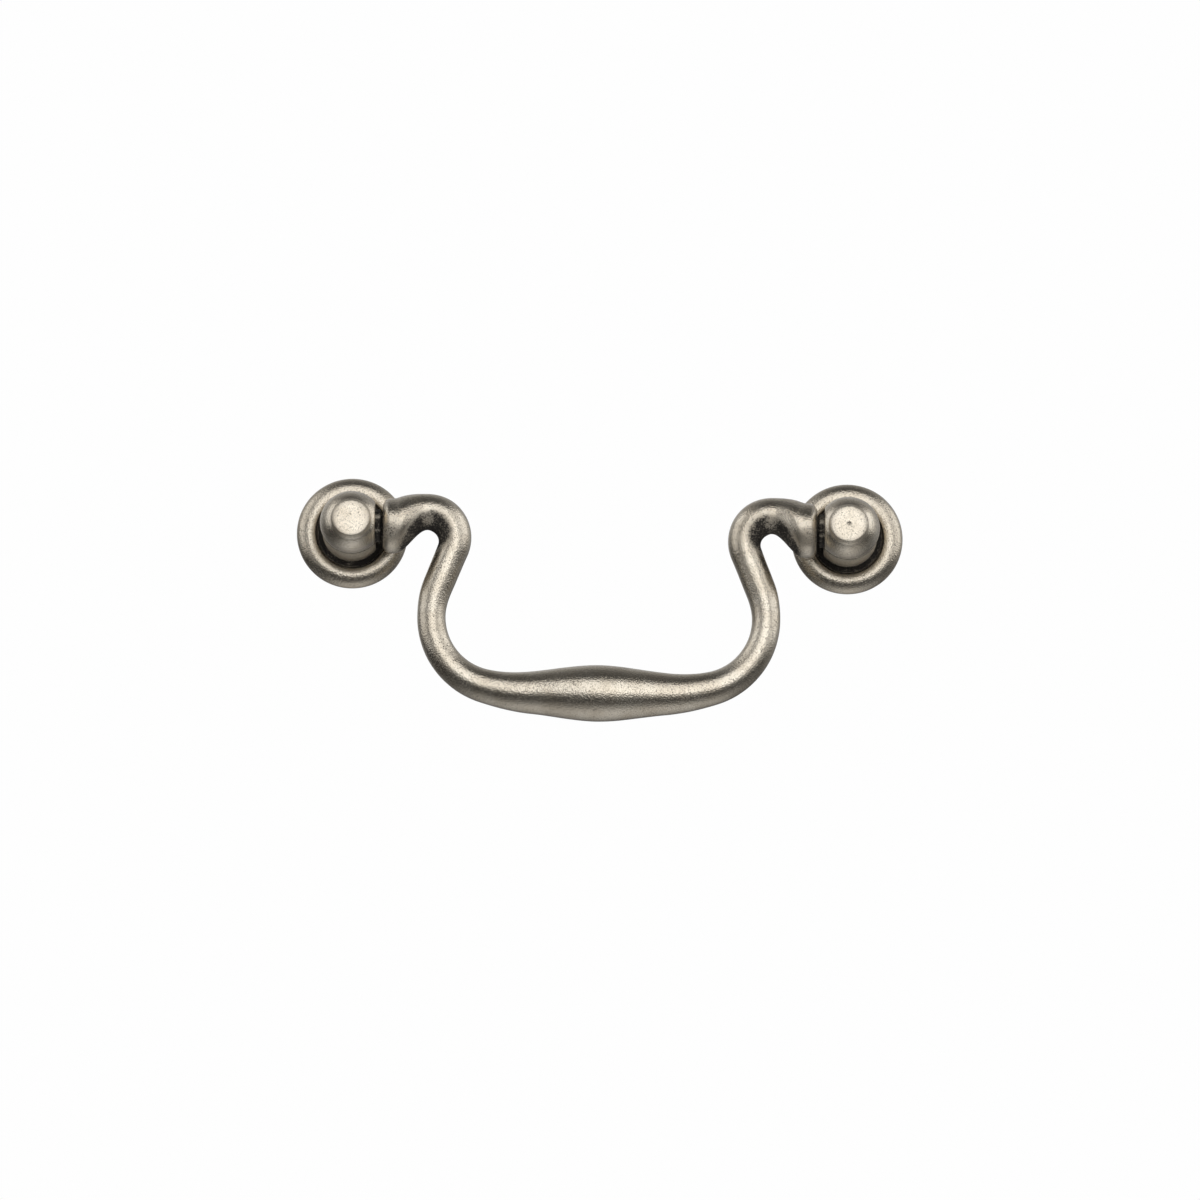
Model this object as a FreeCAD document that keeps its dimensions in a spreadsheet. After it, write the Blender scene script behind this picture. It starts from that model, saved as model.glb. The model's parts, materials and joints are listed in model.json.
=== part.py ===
import FreeCAD, Part
import math
import os

import Sketcher

# A bail pull for a drawer front.
#
# The frame: X runs along the pull, Y into the drawer front and Z up. The origin lies in the drawer
# face, midway between the two posts, so the back of the pull is the plane Y = 0 and the pull stands
# out towards -Y. The bail hangs straight down, as it does by its own weight.
#
# How it is put together: each post's spigot passes through the hole of its rose, and a screw from
# inside the drawer draws the post's foot down on the rose. The bail is one casting with a round pin on
# each end. The pins sit in blind sockets in the posts, and they are trapped there once both posts are
# screwed down.

# The driving sizes in millimetres and degrees, and what each one is
SIZES = {
    # How the pull sits on the drawer
    "post_spacing": (89.0, "between the two post axes"),
    "pivot_standoff": (9.4, "drawer face to the axis that the bail swings on"),
    # Rose
    "spigot_clearance": (0.1, "radial play of the spigot in the rose"),
    "recess_height": (1.2, "floor of the recess round the post, where the post's foot bears"),
    "recess_clearance": (0.94, "room between the post's flank and the foot of the recess wall"),
    "recess_slope": (0.45, "lean of the recess wall, from its foot out to its top edge"),
    "lip_width": (0.95, "top edge of the recess wall out to the ring's crest"),
    "lip_rise": (0.2, "top edge of the recess wall up to the crest"),
    "lip_turn": (23.8, "turn of the curve between them in degrees"),
    "ring_width": (2.3, "crest of the ring out to the edge of the rose"),
    "ring_rise": (1.95, "straight edge of the rose up to the crest"),
    "ring_turn": (80.0, "turn of the curve between them in degrees"),
    "rose_edge_height": (0.5, "straight edge of the rose, from the drawer face up"),
    "rose_edge_round": (0.25, "broken back edge of the rose"),
    # Post
    "spigot_radius": (4.0, "spigot behind the foot"),
    "post_radius": (5.36, "round flank of the post"),
    "post_height": (18.0, "drawer face to the button face"),
    "button_radius": (3.4, "flat button face"),
    "button_wall": (0.45, "short wall round the button face"),
    "button_round": (0.22, "broken edge of the button face"),
    "cove_width": (0.5, "hollow round the foot of the button, seen from the front"),
    "cove_rise": (0.75, "height of that hollow"),
    "cove_turn": (60.0, "turn of the hollow in degrees"),
    "dome_rise": (4.0, "rim up to the hollow: the height of the domed shoulder"),
    "dome_turn": (47.0, "turn of the shoulder's curve in degrees"),
    "rim_step": (0.29, "how far the rim stands proud of the flank"),
    "rim_band": (0.3, "straight part of the rim"),
    "rim_undercut": (0.2, "height of the step under the rim"),
    "flat_depth": (1.1, "how deep the flat on the bail's side is cut into the flank"),
    "pad_radius": (2.95, "round pad on that flat"),
    "pad_height": (0.95, "how far the pad stands proud of the flat"),
    "pad_round": (0.25, "broken edge of the pad"),
    "socket_depth": (3.2, "socket for the bail's pin, from the pad face"),
    "screw_depth": (6.5, "tapped hole for the fixing screw"),
    # Bail, seen square on
    "end_gap": (0.4, "play between a pad and the bail's boss"),
    "pin_radius": (1.9, "pin on the end of the bail"),
    "pin_clearance": (0.05, "radial play of the pin in its socket"),
    "pin_end_gap": (0.35, "play between the pin's tip and the socket floor"),
    "pin_chamfer": (0.3, "chamfer of the pin's tip"),
    "leg_inset": (8.92, "boss face in to the leg's widest line"),
    "ease_curve": (33.1, "radius of the first slow bend of the grip"),
    "ease_turn": (15.0, "turn of that bend in degrees"),
    "corner_curve": (12.9, "radius of the corner from grip to leg"),
    "lean_curve": (14.9, "radius of the leg where it turns inwards"),
    "lean_turn": (21.8, "how far the leg leans inwards, in degrees"),
    "slope_length": (7.0, "straight part of the leaning leg"),
    "neck_curve": (5.07, "radius of the swan neck on the inside"),
    "neck_turn": (73.2, "turn of that bend in degrees"),
    "crown_curve": (4.86, "radius of the swan neck over the top"),
    "neck_rise": (2.62, "height of the neck's middle line over the pivot axis"),
    "boss_length": (2.85, "part of the boss at full thickness"),
    "boss_level": (1.65, "part of the boss that runs along the pivot axis"),
    "boss_round": (1.4, "rounded rim of the boss face"),
    # Thickness of the bail along its middle line, as radii
    "grip_thickness": (5.06, "middle of the grip"),
    "shoulder_thickness": (3.82, "end of the straight of the grip"),
    "corner_thickness": (3.04, "start of the corner"),
    "leg_thickness": (2.54, "widest line of the leg, the thinnest place"),
    "lean_thickness": (2.75, "where the leg runs straight inwards"),
    "throat_thickness": (2.83, "foot of the swan neck"),
    "neck_thickness": (3.24, "inside of the swan neck"),
    "crown_thickness": (3.24, "top of the swan neck"),
    "boss_thickness": (4.92, "boss at the end of the bail"),
}

FULL_TURN = 360.0
RIGHT_ANGLE = 90.0

# Stretches of the bail's middle line that run straight, the rest being arcs
STRAIGHTS = ("grip", "slope")

# Places on each stretch of the middle line that carry a section, as parts of its length
SECTION_PLACES = {
    "grip": (0.0, 0.5),
    "ease": (0.0, 0.5),
    "corner": (0.0, 0.25, 0.5, 0.75),
    "lean": (0.0, 0.5),
    "slope": (0.0, 0.5),
    "neck": (0.0, 0.25, 0.5, 0.75),
    "crown": (0.0, 0.5, 1.0),
}

# Places that carry a section between the top of the neck and the pivot axis, and along the boss
SWELL_PLACES = (0.2, 0.4, 0.6, 0.8, 1.0)
BOSS_PLACES = (0.5, 1.0)


class Size:
    """A size of the pull: its number, and the sheet expression that gives that number."""

    def __init__(self, value, text):
        self.value = value
        self.text = text

    def __add__(self, other):
        return Size(self.value + as_size(other).value, f"({self.text} + {as_size(other).text})")

    def __sub__(self, other):
        return Size(self.value - as_size(other).value, f"({self.text} - {as_size(other).text})")

    def __rsub__(self, other):
        return as_size(other) - self

    def __mul__(self, factor):
        return Size(self.value * as_size(factor).value, f"({self.text} * {as_size(factor).text})")

    __rmul__ = __mul__
    __radd__ = __add__


def as_size(number):
    """A plain number as a Size."""
    return number if isinstance(number, Size) else Size(float(number), f"{float(number):.6f}")


def size(name):
    """The driving size of that name."""
    return Size(SIZES[name][0], f"Sizes.{name}")


def make_sheet(doc):
    """The sheet that holds the driving sizes."""
    sheet = doc.addObject("Spreadsheet::Sheet", "Sizes")
    for row, (name, (value, meaning)) in enumerate(SIZES.items(), start=1):
        sheet.set(f"A{row}", meaning)
        sheet.set(f"B{row}", str(value))
        sheet.setAlias(f"B{row}", name)
    doc.recompute()
    return sheet


# Places that several pieces share
def post_axis_x():
    """From the middle of the pull to a post's axis."""
    return size("post_spacing") * 0.5


def flat_offset():
    """From a post's axis to its flat."""
    return size("post_radius") - size("flat_depth")


def pad_face_offset():
    """From a post's axis to the face of its pad."""
    return flat_offset() + size("pad_height")


def boss_face_x():
    """From the middle of the pull to the end face of the bail's boss."""
    return post_axis_x() - pad_face_offset() - size("end_gap")


def pin_length():
    """How far a pin stands out of its boss."""
    return size("end_gap") + size("socket_depth") - size("pin_end_gap")


# Helpers for bodies and sketches
def plane(body, role):
    """One of the body's own origin planes."""
    return next(feature for feature in body.Origin.OriginFeatures if feature.Role == role)


def new_sketch(body, name, role):
    """A sketch on one of the body's origin planes."""
    sketch = body.newObject("Sketcher::SketchObject", name)
    sketch.AttachmentSupport = [(plane(body, role), "")]
    sketch.MapMode = "FlatFace"
    return sketch


def bind(sketch, name, constraint, expression):
    """Adds a constraint with that name and drives it from the sheet."""
    index = sketch.addConstraint(constraint)
    sketch.renameConstraint(index, name)
    sketch.setExpression(f"Constraints.{name}", expression)


def put_point(sketch, name, index, position, across, up):
    """Holds one point of a sketch at a place measured from the sketch's origin."""
    for kind, tag, place in (("DistanceX", "x", across), ("DistanceY", "y", up)):
        rule = Sketcher.Constraint(kind, -1, 1, index, position, place.value)
        bind(sketch, f"{name}_{tag}", rule, place.text)


def draw_profile(sketch, corners):
    """Draws a closed outline.

    Each corner is its place across and up, and the turn in degrees of the convex arc that leads to
    the next corner, the same turn with a minus sign for a hollow arc, or None for a straight line.
    """
    count = len(corners)
    for index, (across, up, turn) in enumerate(corners):
        start = FreeCAD.Vector(across.value, up.value, 0)
        after = corners[(index + 1) % count]
        end = FreeCAD.Vector(after[0].value, after[1].value, 0)
        if turn is None:
            sketch.addGeometry(Part.LineSegment(start, end))
        else:
            sketch.addGeometry(arc_between(start, end, turn.value))
    for index, (across, up, turn) in enumerate(corners):
        start = FreeCAD.Vector(across.value, up.value, 0)
        here = end_at(sketch, index, start)
        before = (index - 1) % count
        there = end_at(sketch, before, start)
        sketch.addConstraint(Sketcher.Constraint("Coincident", before, there, index, here))
        put_point(sketch, f"corner{index}", index, here, across, up)
        if turn is not None:
            rule = Sketcher.Constraint("Angle", index, math.radians(abs(turn.value)))
            text = turn.text if turn.value > 0 else f"-{turn.text}"
            bind(sketch, f"turn{index}", rule, f"{text} * 1 deg")


def arc_between(start, end, turn):
    """The arc of that turn in degrees, its bulge to the right of the way for a positive turn."""
    chord = end - start
    right = FreeCAD.Vector(chord.y, -chord.x, 0)
    bulge = 0.5 * math.tan(math.radians(turn) / 4)
    return Part.Arc(start, start + chord * 0.5 + right * bulge, end)


def end_at(sketch, index, point):
    """Which end of a curve lies nearest the point: 1 for its start and 2 for its end."""
    start = sketch.getPoint(index, 1).distanceToPoint(point)
    end = sketch.getPoint(index, 2).distanceToPoint(point)
    return 1 if start < end else 2


def draw_circle(sketch, radius, across=None, up=None):
    """A circle of a bound radius, at the sketch's origin or at a bound place."""
    across = as_size(0) if across is None else across
    up = as_size(0) if up is None else up
    centre = FreeCAD.Vector(across.value, up.value, 0)
    index = sketch.addGeometry(Part.Circle(centre, FreeCAD.Vector(0, 0, 1), radius.value))
    bind(sketch, "radius", Sketcher.Constraint("Radius", index, radius.value), radius.text)
    put_point(sketch, "centre", index, 3, across, up)


def revolve(body, sketch):
    """A full turn of the sketch about its upright axis."""
    feature = body.newObject("PartDesign::Revolution", f"{sketch.Name}_turned")
    feature.Profile = sketch
    feature.ReferenceAxis = (sketch, ["V_Axis"])
    feature.Angle = FULL_TURN
    return feature


def stand_on_drawer(body, side):
    """Stands a turned piece out of the drawer face at its post's axis.

    The piece's own X points towards the bail and its own Z out of the drawer face.
    """
    outwards = FreeCAD.Rotation(FreeCAD.Vector(1, 0, 0), RIGHT_ANGLE)
    towards = FreeCAD.Rotation(FreeCAD.Vector(0, 0, 1), 0 if side < 0 else 2 * RIGHT_ANGLE)
    body.Placement = FreeCAD.Placement(FreeCAD.Vector(0, 0, 0), outwards * towards)
    body.setExpression(".Placement.Base.x", (post_axis_x() * side).text)


# The rose: a ringed plate, turned about the post's axis
def build_rose(doc, label, side):
    """One rose, a broad rounded ring about a sunk floor that the post stands on."""
    body = doc.addObject("PartDesign::Body", label)
    nothing = as_size(0)
    hole = size("spigot_radius") + size("spigot_clearance")
    recess = size("post_radius") + size("recess_clearance")
    lip = recess + size("recess_slope")
    crest = lip + size("lip_width")
    edge = crest + size("ring_width")
    crest_height = size("rose_edge_height") + size("ring_rise")
    sketch = new_sketch(body, f"{label}_profile", "XZ_Plane")
    draw_profile(sketch, [
        (hole, nothing, None),
        (edge - size("rose_edge_round"), nothing, as_size(RIGHT_ANGLE)),
        (edge, size("rose_edge_round"), None),
        (edge, size("rose_edge_height"), size("ring_turn")),
        (crest, crest_height, size("lip_turn")),
        (lip, crest_height - size("lip_rise"), None),
        (recess, size("recess_height"), None),
        (hole, size("recess_height"), None),
    ])
    revolve(body, sketch)
    stand_on_drawer(body, side)
    return body


# The post: turned, then flattened, bored and tapped
def build_post(doc, label, side):
    """One post, its flat and pad on the side of the bail."""
    body = doc.addObject("PartDesign::Body", label)
    turn_post(body, label)
    cut_flat(body, label)
    raise_pad(body, label)
    bore_socket(body, label)
    tap_back(doc, body, label)
    stand_on_drawer(body, side)
    return body


def rim_radius():
    """The widest part of a post."""
    return size("post_radius") + size("rim_step")


def turn_post(body, label):
    """Spigot, foot, flank, rim, domed shoulder, cove and button face."""
    nothing = as_size(0)
    button_foot = size("post_height") - size("button_wall")
    shoulder = button_foot - size("cove_rise")
    rim_top = shoulder - size("dome_rise")
    rim_foot = rim_top - size("rim_band")
    sketch = new_sketch(body, f"{label}_profile", "XZ_Plane")
    draw_profile(sketch, [
        (nothing, nothing, None),
        (size("spigot_radius"), nothing, None),
        (size("spigot_radius"), size("recess_height"), None),
        (size("post_radius"), size("recess_height"), None),
        (size("post_radius"), rim_foot - size("rim_undercut"), None),
        (rim_radius(), rim_foot, None),
        (rim_radius(), rim_top, size("dome_turn")),
        (size("button_radius") + size("cove_width"), shoulder, size("cove_turn") * -1),
        (size("button_radius"), button_foot, None),
        (size("button_radius"), size("post_height") - size("button_round"), as_size(RIGHT_ANGLE)),
        (size("button_radius") - size("button_round"), size("post_height"), None),
        (nothing, size("post_height"), None),
    ])
    revolve(body, sketch)


def cut_flat(body, label):
    """Takes the flank off flat on the bail's side, from the foot to the shoulder."""
    reach = rim_radius() * 2
    sketch = new_sketch(body, f"{label}_flat", "XZ_Plane")
    draw_profile(sketch, [
        (flat_offset(), size("recess_height"), None),
        (reach, size("recess_height"), None),
        (reach, size("post_height"), None),
        (flat_offset(), size("post_height"), None),
    ])
    pocket = body.newObject("PartDesign::Pocket", f"{label}_flat_cut")
    pocket.Profile = sketch
    pocket.Type = "ThroughAll"
    pocket.Midplane = True


def pad_sketch(body, name, radius, offset):
    """A circle on the pivot axis, in a plane across that axis."""
    sketch = new_sketch(body, name, "YZ_Plane")
    sketch.setExpression(".AttachmentOffset.Base.z", offset.text)
    draw_circle(sketch, radius, up=size("pivot_standoff"))
    return sketch


def raise_pad(body, label):
    """The round pad that faces the bail's boss."""
    sketch = pad_sketch(body, f"{label}_pad_outline", size("pad_radius"), flat_offset())
    pad = body.newObject("PartDesign::Pad", f"{label}_pad")
    pad.Profile = sketch
    pad.setExpression("Length", size("pad_height").text)
    body.Document.recompute()
    fillet = body.newObject("PartDesign::Fillet", f"{label}_pad_edge")
    fillet.Base = (pad, round_edges(pad.Shape, pad_face_offset().value, size("pad_radius").value))
    fillet.setExpression("Radius", size("pad_round").text)


def round_edges(shape, across, radius):
    """The names of the circles of that radius that lie in the plane X = across."""
    near = 0.001
    names = []
    for number, edge in enumerate(shape.Edges, start=1):
        if edge.Curve.TypeId != "Part::GeomCircle":
            continue
        flat = edge.BoundBox.XLength < near and abs(edge.BoundBox.Center.x - across) < near
        if flat and abs(edge.Curve.Radius - radius) < near:
            names.append(f"Edge{number}")
    return names


def bore_socket(body, label):
    """The blind socket for the bail's pin."""
    bore = size("pin_radius") + size("pin_clearance")
    sketch = pad_sketch(body, f"{label}_socket_outline", bore, pad_face_offset())
    socket = body.newObject("PartDesign::Pocket", f"{label}_socket")
    socket.Profile = sketch
    socket.setExpression("Length", size("socket_depth").text)


def tap_back(doc, body, label):
    """The blind tapped hole for the fixing screw, in the end of the spigot."""
    sketch = new_sketch(body, f"{label}_screw_place", "XY_Plane")
    draw_circle(sketch, size("spigot_radius") * 0.5)
    doc.recompute()
    hole = body.newObject("PartDesign::Hole", f"{label}_screw_hole")
    hole.Profile = sketch
    doc.recompute()
    hole.ThreadType = "ISOMetricProfile"
    hole.ThreadSize = "M4x0.7"
    hole.Threaded = True
    hole.ModelThread = False
    hole.DepthType = "Dimension"
    hole.DrillPoint = "Flat"
    hole.Reversed = True
    hole.setExpression("Depth", size("screw_depth").text)


# The bail: one casting, skinned over round sections along a middle line of straights and arcs
def leg_x():
    """From the middle of the pull to the widest line of a leg."""
    return boss_face_x() - size("leg_inset")


def middle_line(side):
    """Half of the bail's middle line, from the grip to the top of the swan neck.

    The answer lists each stretch by name, with its start, a point on it and its end, seen square on.
    """
    ease = math.radians(size("ease_turn").value)
    lean = math.radians(size("lean_turn").value)
    neck = math.radians(size("neck_turn").value)
    upright = math.radians(RIGHT_ANGLE)
    steep = upright + lean
    straight = (leg_x().value - size("ease_curve").value * math.sin(ease)
                - size("corner_curve").value * (1 - math.sin(ease)))
    climb = (size("ease_curve").value * (1 - math.cos(ease))
             + size("corner_curve").value * math.cos(ease)
             + size("lean_curve").value * math.sin(lean)
             + size("slope_length").value * math.sin(steep)
             + size("neck_curve").value * (math.cos(steep - neck) - math.cos(steep))
             + size("crown_curve").value * (1 - math.cos(steep - neck)))
    moves = (
        ("grip", straight, 0.0),
        ("ease", size("ease_curve").value, ease),
        ("corner", size("corner_curve").value, upright - ease),
        ("lean", size("lean_curve").value, lean),
        ("slope", size("slope_length").value, 0.0),
        ("neck", size("neck_curve").value, -neck),
        ("crown", size("crown_curve").value, neck - steep),
    )
    here = FreeCAD.Vector(0, size("neck_rise").value - climb, 0)
    heading = 0.0
    stretches = []
    for name, length, turn in moves:
        middle = step(here, heading, length, turn / 2)
        end = step(here, heading, length, turn)
        stretches.append((name, *(mirrored(point, side) for point in (here, middle, end))))
        here = end
        heading += turn
    return stretches


def step(start, heading, length, turn):
    """The end of a straight of that length, or of an arc of that radius and turn."""
    if not turn:
        return start + FreeCAD.Vector(math.cos(heading), math.sin(heading), 0) * length
    way = math.copysign(length, turn)
    centre = start + FreeCAD.Vector(-math.sin(heading), math.cos(heading), 0) * way
    after = heading + turn
    return centre + FreeCAD.Vector(math.sin(after), -math.cos(after), 0) * way


def mirrored(point, side):
    """The point on that side of the pull."""
    return FreeCAD.Vector(point.x * side, point.y, point.z)


def draw_middle_line(doc, name, side):
    """Draws and constrains one half of the middle line, upright in the plane of the bail."""
    sketch = doc.addObject("Sketcher::SketchObject", name)
    sketch.Placement = FreeCAD.Placement(
        FreeCAD.Vector(), FreeCAD.Rotation(FreeCAD.Vector(1, 0, 0), RIGHT_ANGLE)
    )
    stretches = middle_line(side)
    for stretch, start, middle, end in stretches:
        if stretch in STRAIGHTS:
            sketch.addGeometry(Part.LineSegment(start, end))
        else:
            sketch.addGeometry(Part.Arc(start, middle, end))
    for index in range(1, len(stretches)):
        joint = stretches[index][1]
        before = end_at(sketch, index - 1, joint)
        after = end_at(sketch, index, joint)
        sketch.addConstraint(Sketcher.Constraint("Tangent", index - 1, before, index, after))
    hold_middle_line(sketch, stretches, side)
    return sketch


def hold_middle_line(sketch, stretches, side):
    """The places, radii and turns that fix one half of the middle line."""
    number = {stretch[0]: index for index, stretch in enumerate(stretches)}
    start = end_at(sketch, 0, stretches[0][1])
    sketch.addConstraint(Sketcher.Constraint("Horizontal", 0))
    sketch.addConstraint(Sketcher.Constraint("PointOnObject", 0, start, -2))
    slope = size("slope_length")
    rule = Sketcher.Constraint("Distance", number["slope"], slope.value)
    bind(sketch, "slope_length", rule, slope.text)
    turns = {
        "ease": size("ease_turn"),
        "corner": RIGHT_ANGLE - size("ease_turn"),
        "lean": size("lean_turn"),
        "neck": size("neck_turn"),
        "crown": RIGHT_ANGLE + size("lean_turn") - size("neck_turn"),
    }
    for stretch, turn in turns.items():
        index = number[stretch]
        curve = size(f"{stretch}_curve")
        rule = Sketcher.Constraint("Radius", index, curve.value)
        bind(sketch, f"{stretch}_curve", rule, curve.text)
        rule = Sketcher.Constraint("Angle", index, math.radians(turn.value))
        bind(sketch, f"{stretch}_turn", rule, f"{turn.text} * 1 deg")
    lean = number["lean"]
    at_leg = end_at(sketch, lean, stretches[lean][1])
    wide = leg_x()
    ends = (-1, 1, lean, at_leg) if side > 0 else (lean, at_leg, -1, 1)
    bind(sketch, "leg", Sketcher.Constraint("DistanceX", *ends, wide.value), wide.text)
    crown = number["crown"]
    top = end_at(sketch, crown, stretches[crown][3])
    rise = size("neck_rise")
    bind(sketch, "rise", Sketcher.Constraint("DistanceY", -1, 1, crown, top, rise.value), rise.text)


def thickness_at(lengths, index, part):
    """The bail's thickness at a part of one stretch, as a radius.

    The thickness is set where stretches meet. Between two such places it follows a cubic, whose slope
    at a place is the slope between the places on either side of it. It is level at the grip's middle,
    at the thinnest place and at the top of the neck.
    """
    names = ("grip", "shoulder", "corner", "leg", "lean", "throat", "neck", "crown")
    keys = [size(f"{name}_thickness").value for name in names]
    level = (names.index("grip"), names.index("leg"), names.index("crown"))
    square = part * part
    cube = square * part
    blend = keys[index] * (1 - 3 * square + 2 * cube) + keys[index + 1] * (3 * square - 2 * cube)
    for place, weight in ((index, cube - 2 * square + part), (index + 1, cube - square)):
        if place not in level:
            slope = (keys[place + 1] - keys[place - 1]) / (lengths[place - 1] + lengths[place])
            blend += weight * slope * lengths[index]
    return blend


def line_sections(sketch, side):
    """The sections along one half of the middle line, from the grip to the top of the neck.

    A section is its centre, the direction across the bail in the bail's plane, and its radius. All
    of them look the same way along the bail, from left to right.
    """
    stretches = middle_line(side)
    edges = sketch.Shape.Edges
    lengths = [edge.Length for edge in edges]
    sections = []
    for index, (stretch, start, *_) in enumerate(stretches):
        edge = edges[index]
        begin = sketch.Placement.multVec(start)
        reverse = edge.valueAt(edge.FirstParameter).distanceToPoint(begin) > edge.Length / 2
        for part in SECTION_PLACES[stretch]:
            along = 1 - part if reverse else part
            parameter = edge.getParameterByLength(along * edge.Length)
            tangent = edge.tangentAt(parameter) * (-1 if reverse else 1) * side
            across = FreeCAD.Vector(-tangent.z, 0, tangent.x)
            sections.append((edge.valueAt(parameter), across, thickness_at(lengths, index, part)))
    return sections


def smooth_step(part):
    """A rise from 0 to 1 that starts and ends level, for a part from 0 to 1, and 1 beyond it."""
    part = min(part, 1.0)
    return part * part * (3 - 2 * part)


def swell_sections(top, side):
    """The sections from the top of the neck to the boss face.

    The middle line falls from the neck to the pivot axis along a smooth step. The thickness grows from
    the neck's to the boss's along another, which ends a little sooner.
    """
    up = FreeCAD.Vector(0, 0, 1)
    neck = size("crown_thickness").value
    boss = size("boss_thickness").value
    start = abs(top.x)
    full = (boss_face_x() - size("boss_length")).value
    level = (boss_face_x() - size("boss_level")).value
    sections = []
    for part in SWELL_PLACES:
        x = start * (1 - part) + level * part
        fall = smooth_step(part)
        growth = smooth_step((x - start) / (full - start))
        radius = neck * (1 - growth) + boss * growth
        sections.append((FreeCAD.Vector(x * side, 0, top.z * (1 - fall)), up, radius))
    for part in BOSS_PLACES:
        x = level + size("boss_level").value * part
        sections.append((FreeCAD.Vector(x * side, 0, 0), up, boss))
    return sections


def bail_sections(doc):
    """All the sections of the bail, from the left boss to the right one."""
    halves = {}
    for side, word in ((-1, "left"), (1, "right")):
        sketch = draw_middle_line(doc, f"middle_line_{word}", side)
        doc.recompute()
        line = line_sections(sketch, side)
        halves[word] = line + swell_sections(line[-1][0], side)
    return list(reversed(halves["left"])) + halves["right"][1:]


def skin(sections):
    """One smooth tube through round sections, closed by a flat face at each end.

    A circle is the rational curve of a square's corners and sides' middles. Each of those eight
    points runs along the bail as one cubic through its places in all the sections, so every section
    is a true circle and the tube has no seam or crease between them.
    """
    depth = FreeCAD.Vector(0, 1, 0)
    corner = math.sqrt(0.5)
    frame = ((1, 0, 1.0), (1, 1, corner), (0, 1, 1.0), (-1, 1, corner),
             (-1, 0, 1.0), (-1, -1, corner), (0, -1, 1.0), (1, -1, corner))
    places = [0.0]
    for before, after in zip(sections, sections[1:]):
        places.append(places[-1] + before[0].distanceToPoint(after[0]))
    rows = []
    for across, deep, _ in frame:
        points = [centre + (side * across + depth * deep) * radius for centre, side, radius in sections]
        curve = Part.BSplineCurve()
        curve.interpolate(Points=points, Parameters=places)
        rows.append(curve.getPoles())
    weights = [weight for *_, weight in frame]
    poles = [[row[index] for row in rows] for index in range(len(rows[0]))]
    surface = Part.BSplineSurface()
    surface.buildFromPolesMultsKnots(
        poles, curve.getMultiplicities(), [2] * 5, curve.getKnots(), list(range(5)),
        False, True, curve.Degree, 2, [weights] * len(poles)
    )
    tube = surface.toShape()
    ends = [section[0].x for section in (sections[0], sections[-1])]
    caps = [Part.Face(Part.Wire(edge)) for edge in tube.Edges if is_upright(edge, ends)]
    closed = Part.makeCompound([tube] + caps)
    closed.sewShape()
    solid = Part.Solid(closed.Shells[0])
    if solid.Volume < 0:
        solid.reverse()
    return solid


def is_upright(edge, places):
    """Whether the edge lies flat across X at one of those places."""
    near = 0.001
    box = edge.BoundBox
    return box.XLength < near and any(abs(box.Center.x - place) < near for place in places)


def build_bail(doc):
    """The bail: grip, legs, swan necks and bosses as one skin, then its rounded rims and its pins."""
    form = doc.addObject("Part::Feature", "bail_form")
    form.Shape = skin(bail_sections(doc))
    body = doc.addObject("PartDesign::Body", "bail")
    body.BaseFeature = form
    doc.recompute()
    face = boss_face_x().value
    base = body.Tip
    rims = [f"Edge{number}" for number, edge in enumerate(base.Shape.Edges, start=1)
            if is_upright(edge, (-face, face))]
    fillet = body.newObject("PartDesign::Fillet", "boss_rims")
    fillet.Base = (base, rims)
    fillet.setExpression("Radius", size("boss_round").text)
    for side, word in ((-1, "left"), (1, "right")):
        add_pin(body, side, word)
    body.setExpression(".Placement.Base.y", (size("pivot_standoff") * -1).text)
    return body


def add_pin(body, side, word):
    """A chamfered pin on one boss face, rooted as deep in the boss as its rim is rounded."""
    start = boss_face_x() - size("boss_round")
    tip = boss_face_x() + pin_length()
    nothing = as_size(0)
    sketch = new_sketch(body, f"pin_profile_{word}", "XZ_Plane")
    draw_profile(sketch, [
        (start * side, nothing, None),
        (tip * side, nothing, None),
        (tip * side, size("pin_radius") - size("pin_chamfer"), None),
        ((tip - size("pin_chamfer")) * side, size("pin_radius"), None),
        (start * side, size("pin_radius"), None),
    ])
    pin = body.newObject("PartDesign::Revolution", f"pin_{word}")
    pin.Profile = sketch
    pin.ReferenceAxis = (sketch, ["H_Axis"])
    pin.Angle = FULL_TURN


def check_and_export(doc, bodies):
    """Stops if anything failed, and otherwise writes each piece to its own file."""
    for item in doc.Objects:
        if "Invalid" in item.State or "Error" in item.State:
            raise RuntimeError(f"{item.Label} failed: {item.State}")
    os.makedirs("parts", exist_ok=True)
    for body in bodies:
        shape = body.Shape
        if shape.isNull() or not shape.isValid() or len(shape.Solids) != 1:
            raise RuntimeError(f"{body.Label} is not one valid solid")
        shape.exportStep(f"parts/{body.Label}.step")
        print(f"{body.Label}: {shape.Volume:.1f} mm3")


def main():
    doc = FreeCAD.newDocument("bail_pull")
    make_sheet(doc)
    bodies = [
        build_rose(doc, "rose_left", -1),
        build_rose(doc, "rose_right", 1),
        build_post(doc, "post_left", -1),
        build_post(doc, "post_right", 1),
        build_bail(doc),
    ]
    doc.recompute()
    check_and_export(doc, bodies)


main()
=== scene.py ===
"""A cast pewter bail pull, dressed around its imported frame.

X runs along the pull, Y into the drawer front and Z up, in metres. The back of the pull is the plane
Y = 0. Two ringed roses and two posts stand on it, and the bail hangs between the posts.
"""

import json
import logging
import math
from dataclasses import dataclass, field
from enum import Enum
from typing import Union

import bmesh
import bpy
import numpy as np
from mathutils import Matrix, Vector

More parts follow.
